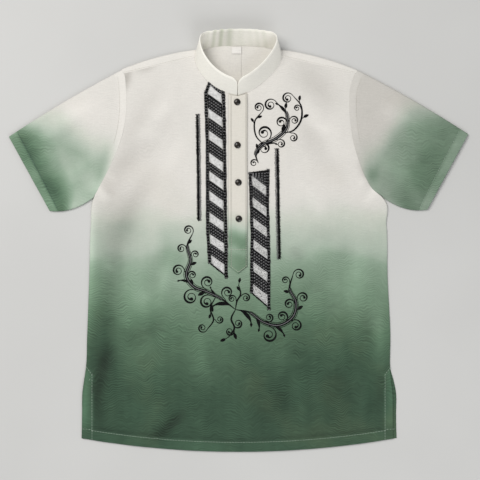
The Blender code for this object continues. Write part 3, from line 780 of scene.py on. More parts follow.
@dataclass
class Patch:
    """Grid of points with the numbers that its material reads."""

    x: Points
    y: Points
    z: Points
    dye: Points | float = 0.0
    # Lightness from extra plies, together with painted shade and painted light
    ply: Points | float = 0.0
    closed: bool = False
    keep: Optional[Points] = None

    def faces(self) -> list[tuple[int, int, int, int]]:
        """Corner numbers of the grid's faces.

        Returns:
            Four corners for each face.
        """
        rows, columns = self.x.shape
        index = np.arange(rows * columns).reshape(rows, columns)
        right = np.roll(index, -1, axis=1)
        quads = np.stack([index[:-1], right[:-1], right[1:], index[1:]], axis=-1)
        if not self.closed:
            quads = quads[:, :-1]
        if self.keep is not None:
            quads = quads[self.keep]
        return quads.reshape(-1, 4)


def add_object(name: str, data: bpy.types.ID) -> Object:
    """Object at the origin, linked to the scene."""
    made = bpy.data.objects.new(name, data)
    bpy.context.scene.collection.objects.link(made)
    return made


def make_piece(name: str, patches: Sequence[Patch], finish: Finish, wall: float = 0.0, flip: bool = False,
               weld: bool = False, ends: Sequence[Sequence[int]] = ()) -> Object:
    """Write grids into one mesh object.

    Args:
        name: The piece's name.
        patches: Grids in millimetres.
        finish: Its finish.
        wall: Thickness that a Solidify modifier adds on the inner side, or 0.
        flip: Turn the faces round.
        weld: Join points that coincide.
        ends: Corner numbers of faces that close the grids.

    Returns:
        The object, at the origin.
    """
    points, faces, dye, ply, first = [], [], [], [], 0
    for patch in patches:
        points.append(np.stack([patch.x, patch.y, patch.z], axis=-1).reshape(-1, 3))
        quads = patch.faces() + first
        faces.append(quads[:, ::-1] if flip else quads)
        dye.append(np.broadcast_to(patch.dye, patch.x.shape).reshape(-1))
        ply.append(np.broadcast_to(patch.ply, patch.x.shape).reshape(-1))
        first += patch.x.size
    mesh = bpy.data.meshes.new(name)
    corners = np.concatenate(faces).tolist() + [list(end) for end in ends]
    mesh.from_pydata((np.concatenate(points) * MM).tolist(), [], corners)
    for key, values in (("dye", dye), ("ply", ply)):
        numbers = mesh.attributes.new(key, "FLOAT", "POINT").data
        numbers.foreach_set("value", np.concatenate(values).astype(np.float32))
    mesh.shade_smooth()
    piece = add_object(name, mesh)
    if weld:
        piece.modifiers.new("joined", "WELD").merge_threshold = 0.00001
    if wall:
        shell = piece.modifiers.new("wall", "SOLIDIFY")
        shell.thickness = wall * MM
        shell.offset = -1.0
        shell.use_even_offset = False
    mesh.materials.append(finish.material())
    return piece


def dress(piece: Object, nodes: Sequence[str] = ()) -> Object:
    """Let a piece ride on the shirt and stand for CAD nodes.

    Args:
        piece: The piece.
        nodes: CAD nodes that it replaces.

    Returns:
        The piece.
    """
    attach(piece, "root")
    if nodes:
        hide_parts(*nodes)
    LOG.info("%s: %d faces", piece.name, len(piece.data.polygons))
    return piece


def roll_down(z: Points, distance: Points, radius: float, drop: float) -> Points:
    """Lower cloth in a quarter round towards an edge."""
    share = np.clip(1.0 - distance / radius, 0.0, 1.0)
    return z - drop * (1.0 - np.sqrt(1.0 - share ** 2))


class BodyGrid:
    """Columns and rows shared by the front and the back."""

    def __init__(self, levels: Sequence[float], inner: Sequence[float], pitch: float, back: bool) -> None:
        """Lay out the grid.

        Args:
            levels: Heights of the side edge for each row.
            inner: Fixed columns between the neck's corners.
            pitch: Spacing of the outer columns.
            back: Whether the left edge follows the back panel.
        """
        self.levels = np.asarray(levels, float)
        offsets = [0.0, 0.12, 0.45, 1.0, 1.8, 2.8, 4.4, 6.0]
        count = int(OUTER_REACH / pitch)
        shares = [i / count for i in range(count)]
        right = FORM.half_width(self.levels, Side.RIGHT)
        left = FORM.half_width(self.levels, Side.LEFT, back)
        columns = [-(right - d) for d in offsets]
        columns += [-mix(FORM.neck_half, right - offsets[-1], s) for s in reversed(shares)]
        columns += [np.full_like(right, x) for x in inner]
        columns += [mix(FORM.neck_half, left - offsets[-1], s) for s in shares]
        columns += [left - d for d in reversed(offsets)]
        self.x = np.stack(columns, axis=1)
        self.from_side = np.where(self.x < 0, right[:, None], left[:, None]) - np.abs(self.x)
        self.outer = len(offsets) + len(shares)
        self.fixed = np.abs(self.x[-1]) < FORM.neck_half - 0.001

    def lay(self, top_y: Points, end_y: float) -> Points:
        """Y of every point, with the last row on a given line.

        Args:
            top_y: Y of the last row, for each column.
            end_y: Level of the side edge at which that row ends.

        Returns:
            The grid of Y.
        """
        climb = (self.levels - self.levels[0]) / (end_y - self.levels[0])
        return mix(FORM.hem_y(self.x[0]), top_y, np.minimum(climb, 1.0)[:, None])


def hem_levels(pitch: float, top: float) -> list[float]:
    """Levels of the body's rows, close together round the hem's edge and its turned ply.

    Args:
        pitch: Spacing of the rows above the hem.
        top: Level of the last row.

    Returns:
        The level of each row.
    """
    base = LEVELS[0].y
    near = [0.0, 0.2, 0.7, 1.5, 2.6, 6.0, 10.0, 14.0, 17.5, 19.6, 20.2, 20.8, 24.0]
    rows = [base + d for d in near]
    count = int(round((top - rows[-1] - 3.0) / pitch))
    rows += [mix(rows[-1], top - 3.0, (i + 1) / count) for i in range(count)]
    return rows + [top - 1.6, top - 0.8, top - 0.3, top]


def turned_under(x: Points, y: Points, level: Points) -> Points:
    """1 where the cloth is turned under at the hem and the vents, else 0.

    Args:
        x: X of the points.
        y: Y of the points.
        level: Level of each point's row.

    Returns:
        The shares.
    """
    hem = level <= LEVELS[0].y + FORM.hem_depth + 0.1
    corner = np.clip((FORM.vent_top_y - y) / 12.0, 0.0, 1.0)
    vent = np.abs(x) > mix(FORM.side_half(x, level), FORM.vent_line, corner)
    return (hem | (vent & (level < FORM.vent_top_y))).astype(float)


@dataclass
class FrontPanel:
    """Front, one piece from hem to shoulder seams, slit under the placket."""

    pitch: float = 4.2
    slit_half: float = 1.2
    slit_end_y: float = -36.0
    relief: float = 0.4
    vent_tone: float = 2.2
    seam_drop: float = 0.18
    underside: float = 1.65

    def build(self) -> None:
        slit_sides = (FORM.placket_x - self.slit_half, FORM.placket_x + self.slit_half)
        inner = [*np.linspace(-78.0, -6.0, 19), *slit_sides, *np.linspace(4.0, 78.0, 19)]
        grid = BodyGrid(hem_levels(self.pitch, FORM.seam_y), inner, self.pitch, back=False)
        top_x = grid.x[-1]
        end_half = np.where(top_x < 0, -top_x[0], top_x[-1])
        top_y = np.where(grid.fixed, FORM.neck_front_y(top_x), FORM.shoulder_seam_y(top_x, end_half))
        y = grid.lay(top_y, FORM.seam_y)
        level = grid.levels[:, None]
        doubled = turned_under(grid.x, y, level)
        z = FORM.front_height(grid.x, y) + self.relief * doubled
        at_seam = level > FORM.underarm_y
        z = roll_down(z, grid.from_side, np.where(at_seam, 1.2, 2.6), np.where(at_seam, 0.16, z - 1.7))
        z = roll_down(z, level - grid.levels[0], 2.2, 1.0)
        z = roll_down(np.maximum(z, self.underside), FORM.seam_y - level, 1.2,
                      np.where(grid.fixed, 0.0, self.seam_drop))
        keep = np.ones((y.shape[0] - 1, y.shape[1] - 1), bool)
        slit = int(np.argmin(np.abs(top_x - slit_sides[0])))
        keep[:, slit] = y[:-1, slit] < self.slit_end_y
        above_hem = level - LEVELS[0].y - FORM.hem_depth
        # Lighter where hem and vents are turned under, plus painted shade and painted light along the folds
        tone = doubled * mix(1.0, self.vent_tone, above_hem > 0.2) + FORM.front_painted_shade(grid.x, y)
        # Painted shadow in a thin line just above the top of the turned hem
        tone = tone - 0.9 * bell(above_hem, 3.5, 4.0)
        patch = Patch(grid.x, y, z, FORM.body_dye(grid.x, y), tone, keep=keep)
        piece = dress(make_piece("front_cloth", [patch], ORGANZA, FORM.ply), ["front"])


@dataclass
class BackPanel:
    """Back, flat on the surface, folded over each shoulder to the forward seam."""

    pitch: float = 6.5
    pleat_x: float = 5.3
    arc_steps: int = 8
    sleeve_meet: tuple[tuple[float, ...], ...] = ((320.6, 325.1, 327.5), (0.1, 1.7, 0.2))

    def inside_lift(self, x: Points, y: Points) -> Points:
        """Pleat and slight unevenness of the back where it shows inside the neck.

        Args:
            x: X of the points.
            y: Y of the points.

        Returns:
            Height that they add.
        """
        near_neck = smooth((y - 250.0) / 40.0) * smooth((76.0 - np.abs(x)) / 14.0)
        pleat = np.where(x < self.pleat_x, bell(x, self.pleat_x, 9.0), 0.0)
        waves = 0.35 + 0.3 * np.sin(x / 11.0 + 0.8) * np.sin(y / 31.0) + 0.25 * np.sin(x / 23.0 - y / 40.0)
        return near_neck * (0.32 * pleat + np.maximum(waves, 0.0))

    def build(self) -> None:
        end = FORM.fold_end_y - FORM.fold_radius
        inner = sorted([*np.linspace(-79.0, 79.0, 38), 4.9, 5.25, 5.35])
        grid = BodyGrid(hem_levels(self.pitch, end), inner, self.pitch, back=True)
        top_x = grid.x[-1]
        top_y = np.where(grid.fixed, FORM.neck_back_y(top_x), FORM.shoulder_fold_y(top_x) - FORM.fold_radius)
        y = grid.lay(top_y, end)
        level = grid.levels[:, None]
        rise = np.where(level > FORM.underarm_y, 0.0, 0.9)
        z = roll_down(self.inside_lift(grid.x, y), grid.from_side, 2.2, -rise)
        doubled = turned_under(grid.x, y, level)
        patches = [Patch(grid.x, y, z, FORM.body_dye(grid.x, y), doubled)]
        for columns in (slice(0, grid.outer + 1), slice(-grid.outer - 1, None)):
            patches.append(self.shoulder_flap(grid.x[-1, columns], y[-1, columns], z[-1, columns]))
        piece = make_piece("back_cloth", patches, ORGANZA, FORM.ply, flip=True, weld=True)
        dress(piece, ["back"])

    def shoulder_flap(self, x: Points, y: Points, z: Points) -> Patch:
        """The part of one shoulder that folds over to the forward seam.

        Args:
            x: X along the fold.
            y: Y along the fold.
            z: Z along the fold.

        Returns:
            Its grid, from the fold to the seam.
        """
        radius, top = FORM.fold_radius, FORM.laid_top
        side = Side.RIGHT if x[0] < 0 else Side.LEFT
        end_half = float(FORM.half_width(np.array(FORM.seam_y), side))
        edge = int(np.argmax(np.abs(x)))
        reach = (np.abs(x) - FORM.neck_half) / (np.abs(x[edge]) - FORM.neck_half)

        def along(y: Points) -> Points:
            """X of a row whose outer end meets the sleeve."""
            meet = np.interp(y[edge], *self.sleeve_meet) + float(FORM.half_width(y[edge:edge + 1], side)[0])
            return side.value * mix(FORM.neck_half, meet, reach)

        rows = [(x, y, z)]
        for step in range(1, self.arc_steps + 1):
            turn = math.pi * step / self.arc_steps
            row_y = y + radius * math.sin(turn)
            rows.append((along(row_y), row_y, np.full_like(x, radius * (1 - math.cos(turn)))))
        seam_y = FORM.shoulder_seam_y(side.value * mix(FORM.neck_half, end_half, reach), end_half) - 0.15
        for share in (0.25, 0.5, 0.75, 0.88, 0.95, 0.98, 1.0):
            row_y = mix(y, seam_y, share)
            row_x = along(row_y)
            height = roll_down(np.full_like(x, top), (1.0 - share) * (y - seam_y), 1.7, 0.2)
            lift = 0.5 * FORM.ripple(row_x, row_y) * math.sin(math.pi * share)
            rows.append((row_x, row_y, height + np.maximum(lift, -0.2)))
        grid = [np.stack(values) for values in zip(*rows)]
        return Patch(*grid, ply=0.3)


@dataclass
class Sleeve:
    """One flattened sleeve, a tube from the armhole to its turned hem."""

    side: Side
    cuff_top: tuple[float, float]
    cuff_bottom: tuple[float, float]
    pitch: float = 4.2
    hem: float = 17.0
    fell: float = 15.0
    length: float = 150.0
    puff: float = 1.4
    seam_gap: float = -0.05
    under_bow: float = -9.5
    shoulder_bow: float = 4.0
    fell_from: float = 0.42
    arc_steps: int = 8

    def outline(self, along: Sequence[float], count: int) -> Points:
        """Points across the flat sleeve, from its underarm to its shoulder edge.

        Args:
            along: Shares of the way from armhole to cuff, one for each row.
            count: Points across.

        Returns:
            Grid of X and Y, a row for each share.
        """
        across = np.linspace(0.0, 1.0, count)[:, None]
        arm_y = mix(FORM.underarm_y, FORM.fold_end_y, across)
        arm = np.hstack([self.side.value * (FORM.half_width(arm_y, self.side) + self.seam_gap), arm_y])
        end = mix(np.array(self.cuff_bottom), np.array(self.cuff_top), across)
        run = np.asarray(along)[:, None, None] * self.length
        reach = np.linalg.norm(end - arm, axis=1, keepdims=True)
        middle = (reach - self.fell - self.hem) / (self.length - self.fell - self.hem)
        share = np.where(run < self.fell, run, self.fell + (run - self.fell) * middle)
        share = np.where(run > self.length - self.hem, reach - self.length + run, share) / reach
        grid = mix(arm, end, share)
        grid[..., 1:] += mix(self.under_bow, self.shoulder_bow, across) * 4.0 * share * (1.0 - share)
        return grid

    def lift(self, x: Points, y: Points, window: Points) -> Points:
        """How far the top rises over a smooth tube."""
        return np.maximum((FORM.unevenness(x, y) + self.puff) * window, -2.0)

    def cross_line(self, from_cuff: float, low: float = 0.03) -> Points:
        """Line of stitches across the sleeve's top.

        Args:
            from_cuff: Distance from the cuff's edge.
            low: Share across at which it starts.

        Returns:
            Rows of X, Y and Z.
        """
        x, y = self.outline([1.0 - from_cuff / self.length], 80)[0].T
        across = np.linspace(0.0, 1.0, 80)
        radius = FORM.fold_radius / math.hypot(x[-1] - x[0], y[-1] - y[0])
        window = FORM.sleeve_window((across - radius) / (1.0 - 2.0 * radius))
        line = np.column_stack([x, y, FORM.laid_top + self.lift(x, y, window) + 0.36 * window])
        return line[(across > low) & (across < 0.97)]

    def build(self) -> None:
        length = self.length
        turned = 1.0 - self.hem / length
        along = np.array([0.0, 0.003, 0.008, 0.015, 0.025,
                          *np.linspace(0.045, turned - 0.004, int(length / self.pitch)), turned + 0.003,
                          *np.linspace(turned + 0.03, 0.975, 4), 0.988, 0.995, 0.999, 1.0])
        grid = self.outline(along, 60)
        under, shoulder = grid[:, :1], grid[:, -1:]
        width = np.linalg.norm(shoulder - under, axis=2)
        out = (shoulder - under) / width[..., None]
        radius = FORM.fold_radius

        def share_across(points: Points) -> Points:
            """How far across the sleeve points lie."""
            return ((points - under) * out).sum(axis=2) / width

        low, high = under + out * radius, shoulder - out * radius
        flat = np.concatenate([low, grid[:, 2:-2], high], axis=1)
        across = share_across(flat)
        window = FORM.sleeve_window((across * width - radius) / (width - 2 * radius))
        doubled = (along > turned)[:, None].astype(float)
        from_seam = along[:, None] * length
        felled = (from_seam < self.fell) & (across > self.fell_from)
        lift = self.lift(flat[..., 0], flat[..., 1], window)
        top = FORM.laid_top + lift + (0.35 * doubled + 0.25 * felled) * window
        top = roll_down(top, from_seam, 1.2, 0.16 * window)
        top = roll_down(top, length - from_seam, 2.0, 1.0 * window)
        turn = np.pi * np.arange(1, self.arc_steps) / self.arc_steps
        bulge = out * radius * np.sin(turn)[:, None]
        arcs = [np.broadcast_to(radius * (1 + sign * np.cos(turn)), (len(along), len(turn)))
                for sign in (1, -1)]
        loop = np.concatenate([flat, high + bulge, flat[:, ::-1], low - bulge], axis=1)
        z = np.concatenate([top, arcs[0], np.zeros_like(top), arcs[1]], axis=1)
        place = share_across(loop)
        x, y = loop[..., 0], loop[..., 1]
        share = along[:, None]
        strip = smooth((self.fell - from_seam) / 1.5) * smooth((place - 0.3) / 0.4)
        # Lighter turned hem and felled seam, plus painted light on crease ridges and painted shade in crease
        # troughs
        ply = np.maximum(0.5 * doubled, 0.35 * strip) + 0.2 * FORM.creases(x, y)
        patch = Patch(x, y, z, FORM.sleeve_dye(self.side, x, y, share, place),
                      ply + FORM.sleeve_painted_light_and_shade(self.side, share, place), closed=True)
        name = "sleeve_" + self.side.name.lower()
        piece = make_piece(name + "_cloth", [patch], ORGANZA, FORM.ply, flip=self.side is Side.LEFT)
        dress(piece, [name])


@dataclass
class CollarBand:
    """Stand collar of two plies, opened out so that it leans to the back."""

    height: float = 38.0
    thickness: float = 2.6
    top_thickness: float = 1.5
    growth: float = 2.5
    lean_y: float = 29.0
    back_lean_y: float = 26.4
    lean_in: float = 10.0
    end_radius: float = 15.0
    end_right: float = -2.5
    end_left: float = -0.9
    steps: int = 300
    rows: int = 18

    def path(self) -> Points:
        """Even points round the neck seam, from the right front end to the left.

        Returns:
            Rows of X and Y.
        """
        half = FORM.neck_half + self.growth
        t = np.linspace(0.0, 1.0, 400)
        x1 = mix(self.end_right, -half, np.sin(0.5 * np.pi * t[:-1]))
        x2 = -half * np.cos(np.pi * t[:-1])
        x3 = mix(self.end_left, half, np.cos(0.5 * np.pi * t))
        x = np.concatenate([x1, x2, x3])
        y = np.concatenate([FORM.neck_front_y(x1, self.growth), FORM.neck_back_y(x2, self.growth),
                            FORM.neck_front_y(x3, self.growth)])
        run = run_along(x, y)
        even = np.linspace(0.0, run[-1], self.steps + 1)
        path = np.stack([np.interp(even, run, x), np.interp(even, run, y)], axis=1)
        for _ in range(40):
            path[1:-1] = 0.25 * path[:-2] + 0.5 * path[1:-1] + 0.25 * path[2:]
        return path

    def seat(self, path: Points) -> Points:
        """Height of the cloth under the band's foot.

        Args:
            path: Points along the band.

        Returns:
            Z at each point.
        """
        x, y = path[:, 0], path[:, 1]
        front = FORM.front_height(x, y)
        side = mix(0.9, FORM.laid_top, smooth((np.abs(x) - 76.5) / 5.5))
        return np.where(y <= FORM.neck_y + 2.0, np.maximum(front, FORM.laid_top), side)

    def build(self) -> None:
        path = self.path()
        x, y = path[:, 0], path[:, 1]
        tangent = np.gradient(path, axis=0)
        tangent /= np.linalg.norm(tangent, axis=1)[:, None]
        inward = np.stack([tangent[:, 1], -tangent[:, 0]], axis=1)
        run = run_along(x, y)
        on_back = smooth((y - 366.0) / 8.0)
        lean = np.stack([-self.lean_in * x / (FORM.neck_half + self.growth),
                         mix(self.lean_y, self.back_lean_y, on_back)], axis=1)
        rise = np.sqrt(self.height ** 2 - (lean * inward).sum(axis=1) ** 2)
        short = np.maximum(self.end_radius - np.minimum(run, run[-1] - run), 0.0)
        full = 1.0 - (self.end_radius - np.sqrt(self.end_radius ** 2 - short ** 2)) / self.height
        foot = self.seat(path) + 0.15
        climb = np.array([0.0, 0.015, 0.04, *np.linspace(0.08, 1.0, self.rows)])
        cap = np.pi * np.arange(1, 8) / 8
        depth = np.concatenate([np.zeros(len(climb)), 0.5 * (1 - np.cos(cap)), np.ones(len(climb))])
        level = np.concatenate([climb, np.ones(len(cap)), climb[::-1]])
        crown = np.concatenate([np.zeros(len(climb)), 0.5 * np.sin(cap), np.zeros(len(climb))])
        swell = 0.35 * np.sin(np.pi * np.clip(level, 0, 1)) * np.where(depth < 0.5, -1.0, 1.0)
        ripple = self.ripples(run)
        inset = depth * mix(self.thickness, self.top_thickness, level) + swell
        inset = inset + (ripple * on_back)[:, None] * level ** 1.2
        reach = full[:, None] * level + crown * self.top_thickness / self.height
        gx = x[:, None] + inward[:, :1] * inset + lean[:, :1] * reach
        gy = y[:, None] + inward[:, 1:] * inset + lean[:, 1:] * reach
        gz = foot[:, None] + rise[:, None] * reach
        # Painted shade of the back's ripples, held as dye toward the ramp's mint end and strongest on the
        # back's left part
        left_back_shade = on_back * bell(x, -30.0, 24.0)
        shade = on_back * (0.1 - 0.3 * ripple) + left_back_shade * (0.35 - 0.2 * ripple)
        # Lighter along the band's top edge, with painted shade on the back's left part
        ply = 0.6 * (level > 0.93) - (0.6 * left_back_shade)[:, None]
        index = np.arange(gx.size).reshape(gx.shape)
        piece = make_piece("collar_band", [Patch(gx, gy, gz, shade[:, None], ply, closed=True)], COLLAR_CLOTH,
                           ends=(index[0, ::-1].tolist(), index[-1].tolist()))
        dress(piece, ["collar_outer", "collar_inner"])

    def ripples(self, run: Points) -> Points:
        """Uneven soft waves along the back of the band."""
        return 0.8 * np.sin(run / 2.9 + 1.2 * np.sin(run / 13.0)) * (0.6 + 0.4 * np.sin(run / 21.0))


@dataclass
class PlacketStrip:
    """Strip of cloth from under the collar down the front, pointed at its foot or not."""

    name: str
    node: str
    width: float
    end_y: float
    bottom: float
    flat: tuple[float, float]
    rests_on: Sequence[str]
    point: float = 0.0
    waves: float = 0.0
    ply: float = 1.1

    def build(self) -> None:
        half = 0.5 * self.width
        across = np.array([-1.0, -0.995, -0.98, -0.95, -0.9, -0.8, -0.74, -0.72, -0.7,
                           *np.linspace(-0.6, 0.6, 9),
                           0.7, 0.8, 0.84, 0.86, 0.88, 0.93, 0.96, 0.985, 0.996, 1.0])
        x = FORM.placket_x + half * across
        top_y = FORM.neck_front_y(x, 2.5) - 0.5
        low_y = self.end_y - self.point * (1.0 - np.abs(across))
        share = np.array([*np.linspace(0.0, 0.99, 110), 0.994, 0.997, 0.999, 1.0])[:, None]
        y = mix(top_y, low_y, share)
        gx = np.broadcast_to(x, y.shape)
        ends = np.minimum(half * (1.0 - np.abs(across)), (1.0 - share) * (top_y - low_y) + 0.02)
        side = gx - FORM.placket_x
        waves = 0.5 * self.waves * (np.sin(y / 17.0 + gx / 30.0) + np.sin(y / 41.0))
        z = self.bottom + self.ply + waves
        grooves = bell(side, -0.72 * half, 0.7) + bell(side, 0.86 * half, 0.6)
        z = z + 0.25 * (bell(side, 0.93 * half, 1.6) - grooves)
        z = roll_down(z, ends, 1.0, self.ply * 0.7)
        level = y + 0.2 * side + 1.5 * np.sin(gx / 5.0)
        dye = 0.28 * smooth((66.0 - level) / 44.0) + 0.35 * smooth((34.0 - level) / 34.0)
        dye = dye - 0.12 * bell(level, -20.0, 9.0) + 0.03 * np.sin(gx / 9.0) * smooth((40.0 - y) / 40.0)
        # Painted shade along the grooves at both edges, deeper at the +X edge; the rest a little lighter
        lines = 1.7 * bell(side, 0.88 * half, 1.3) + 0.8 * bell(side, -0.74 * half, 1.1)
        patch = Patch(gx, y, z, dye, 0.5 - lines)
        piece = make_piece(self.name, [patch], PLACKET_CLOTH, self.ply * 0.55, flip=True)
        dress(piece, [self.node])


@dataclass
class Buttons:
    """Domed buttons turned from one profile."""

    diameter: float = 12.7
    height: float = 3.4
    seat: float = 7.9
    steps: int = 40
    places: tuple[tuple[float, float], ...] = ((-2.6, 265.5), (-2.0, 183.0), (-0.3, 111.6), (0.5, 41.9))

    def build(self) -> None:
        """Make each button in its place."""
        profile = np.array([(0.0, 0.0), (0.8, 0.0), (0.93, 0.04), (0.99, 0.16), (1.0, 0.27), (0.985, 0.37),
                            (0.94, 0.46), (0.90, 0.49), (0.87, 0.50), (0.83, 0.54), (0.74, 0.68), (0.6, 0.82),
                            (0.42, 0.93), (0.22, 0.985), (0.0, 1.0)])
        out, up = profile[:, :1] * 0.5 * self.diameter, profile[:, 1:] * self.height
        turn = np.linspace(0.0, 2 * np.pi, self.steps, endpoint=False)
        for number, (x, y) in enumerate(self.places, start=1):
            z = self.seat + up + 0.0 * turn
            patch = Patch(x + out * np.cos(turn), y + out * np.sin(turn), z, closed=True)
            piece = make_piece("button_%d_dome" % number, [patch], BUTTON_RESIN, weld=True)
            dress(piece, ["button_%d" % number])


@dataclass
class NeckLabel:
    """Bare gauze label sewn inside the back neck."""

    width: float = 19.0
    height: float = 13.0
    place: tuple[float, float] = (-3.6, 365.0)

    def build(self) -> None:
        u, v = np.meshgrid(np.linspace(-0.5, 0.5, 14), np.linspace(-0.5, 0.5, 10))
        x, y = self.place[0] + u * self.width, self.place[1] + v * self.height
        z = 2.3 + 0.3 * np.cos(u * 3.0) + 0.15 * np.sin(v * 5.0)
        piece = make_piece("neck_label_gauze", [Patch(x, y, z)], LABEL_GAUZE, 0.4)
        dress(piece, ["neck_label"])


# ---------- sewing and embroidery


@dataclass(frozen=True)
class StitchTree:
    """Geometry Nodes that lay one small stitch after another along a line."""

    name: str = "stitch_run"

    def tree(self) -> bpy.types.NodeTree:
        """Build the node tree once.

        Returns:
            The node tree.
        """
        found = bpy.data.node_groups.get(self.name)
        if found:
            return found
        tree = bpy.data.node_groups.new(self.name, "GeometryNodeTree")
        for label in ("Line", "Pitch", "Stitch Length", "Thread Width", "Turn", "Unevenness", "Thread"):
            kind = {"Line": "Geometry", "Thread": "Material"}.get(label, "Float")
            tree.interface.new_socket(label, in_out="INPUT", socket_type="NodeSocket" + kind)
        tree.interface.new_socket("Stitches", in_out="OUTPUT", socket_type="NodeSocketGeometry")
        given = add_node(tree, "NodeGroupInput", {}).outputs

        def add(kind: str, inputs: dict, output: int = 0, **settings: object) -> Socket:
            """Add a node and give one of its outputs."""
            return add_node(tree, kind, inputs, **settings).outputs[output]

        line = {"Curve": given["Line"], "Length": given["Pitch"]}
        spaced = add("GeometryNodeResampleCurve", line, mode="LENGTH")
        six_sided = {"Vertices": 6, "Side Segments": 1, "Radius": 0.5, "Depth": 1.0}
        rod = add("GeometryNodeMeshCylinder", six_sided)
        lying = add("GeometryNodeTransform", {"Geometry": rod, "Rotation": (0.0, math.pi / 2.0, 0.0)})
        tangent = add("GeometryNodeInputTangent", {})
        aim = add("FunctionNodeAlignEulerToVector", {"Vector": tangent}, axis="X", pivot_axis="Z")
        least, most = (add("ShaderNodeMath", {0: 1.0, 1: given["Unevenness"]}, operation=operation)
                       for operation in ("SUBTRACT", "ADD"))
        uneven = add("FunctionNodeRandomValue", {2: least, 3: most, "Seed": 7}, 1, data_type="FLOAT")
        sway, reach = (add("ShaderNodeMath", {0: uneven, 1: given[label]}, operation="MULTIPLY")
                       for label in ("Turn", "Stitch Length"))
        twist = add("ShaderNodeCombineXYZ", {"Z": sway})
        turned = add("FunctionNodeRotateEuler", {0: aim, 1: twist}, space="LOCAL")
        thick = given["Thread Width"]
        size = add("ShaderNodeCombineXYZ", {"X": reach, "Y": thick, "Z": thick})
        placed = add("GeometryNodeInstanceOnPoints",
                     {"Points": spaced, "Instance": lying, "Rotation": turned, "Scale": size})
        real = add("GeometryNodeRealizeInstances", {"Geometry": placed})
        coloured = add("GeometryNodeSetMaterial", {"Geometry": real, "Material": given["Thread"]})
        add_node(tree, "NodeGroupOutput", {"Stitches": coloured})
        return tree

    def sew(self, name: str, lines: Iterable[Points], pitch: float, length: float, width: float,
            finish: Finish, turn: float = 0.0, uneven: float = 0.08) -> Object:
        """Sew runs of stitches as one piece.

        Args:
            name: Piece name.
            lines: Arrays of points in millimetres, one for each run.
            pitch: Distance from stitch to stitch.
            length: Length of a stitch.
            width: Width of the thread.
            finish: The thread's finish.
            turn: Angle of each stitch to its line, in radians.
            uneven: How much stitches differ in length and angle, as a share.

        Returns:
            The dressed piece.
        """
        curve = bpy.data.curves.new(name + "_line", "CURVE")
        curve.dimensions = "3D"
        for line in lines:
            spline = curve.splines.new("POLY")
            spline.points.add(len(line) - 1)
            spline.points.foreach_set("co", np.column_stack([line * MM, np.ones(len(line))]).reshape(-1))
        guide = add_object(name + "_line", curve)
        modifier = guide.modifiers.new("stitches", "NODES")
        modifier.node_group = self.tree()
        values = {"Pitch": pitch * MM, "Stitch Length": length * MM, "Thread Width": width * MM, "Turn": turn,
                  "Unevenness": uneven, "Thread": finish.material()}
        for item in modifier.node_group.interface.items_tree:
            if item.item_type == "SOCKET" and item.in_out == "INPUT" and item.name in values:
                modifier[item.identifier] = values[item.name]
        bpy.context.view_layer.update()
        evaluated = guide.evaluated_get(bpy.context.evaluated_depsgraph_get())
        mesh = bpy.data.meshes.new_from_object(evaluated)
        mesh.shade_smooth()
        bpy.data.objects.remove(guide)
        return dress(add_object(name, mesh))


STITCHES = StitchTree()


def on_front(points: Path2D, lift: float, spacing: float = 3.0) -> Points:
    """Points of a line laid on the front.

    Args:
        points: Corners of the line, in X and Y.
        lift: Height above the cloth.
        spacing: Distance between the points laid.

    Returns:
        Rows of X, Y and Z.
    """
    corners = np.asarray(points, float)
    run = run_along(*corners.T)
    at = np.linspace(0.0, run[-1], max(int(run[-1] / spacing), 2) + 1)
    x, y = np.interp(at, run, corners[:, 0]), np.interp(at, run, corners[:, 1])
    return np.column_stack([x, y, FORM.front_height(x, y) + lift])


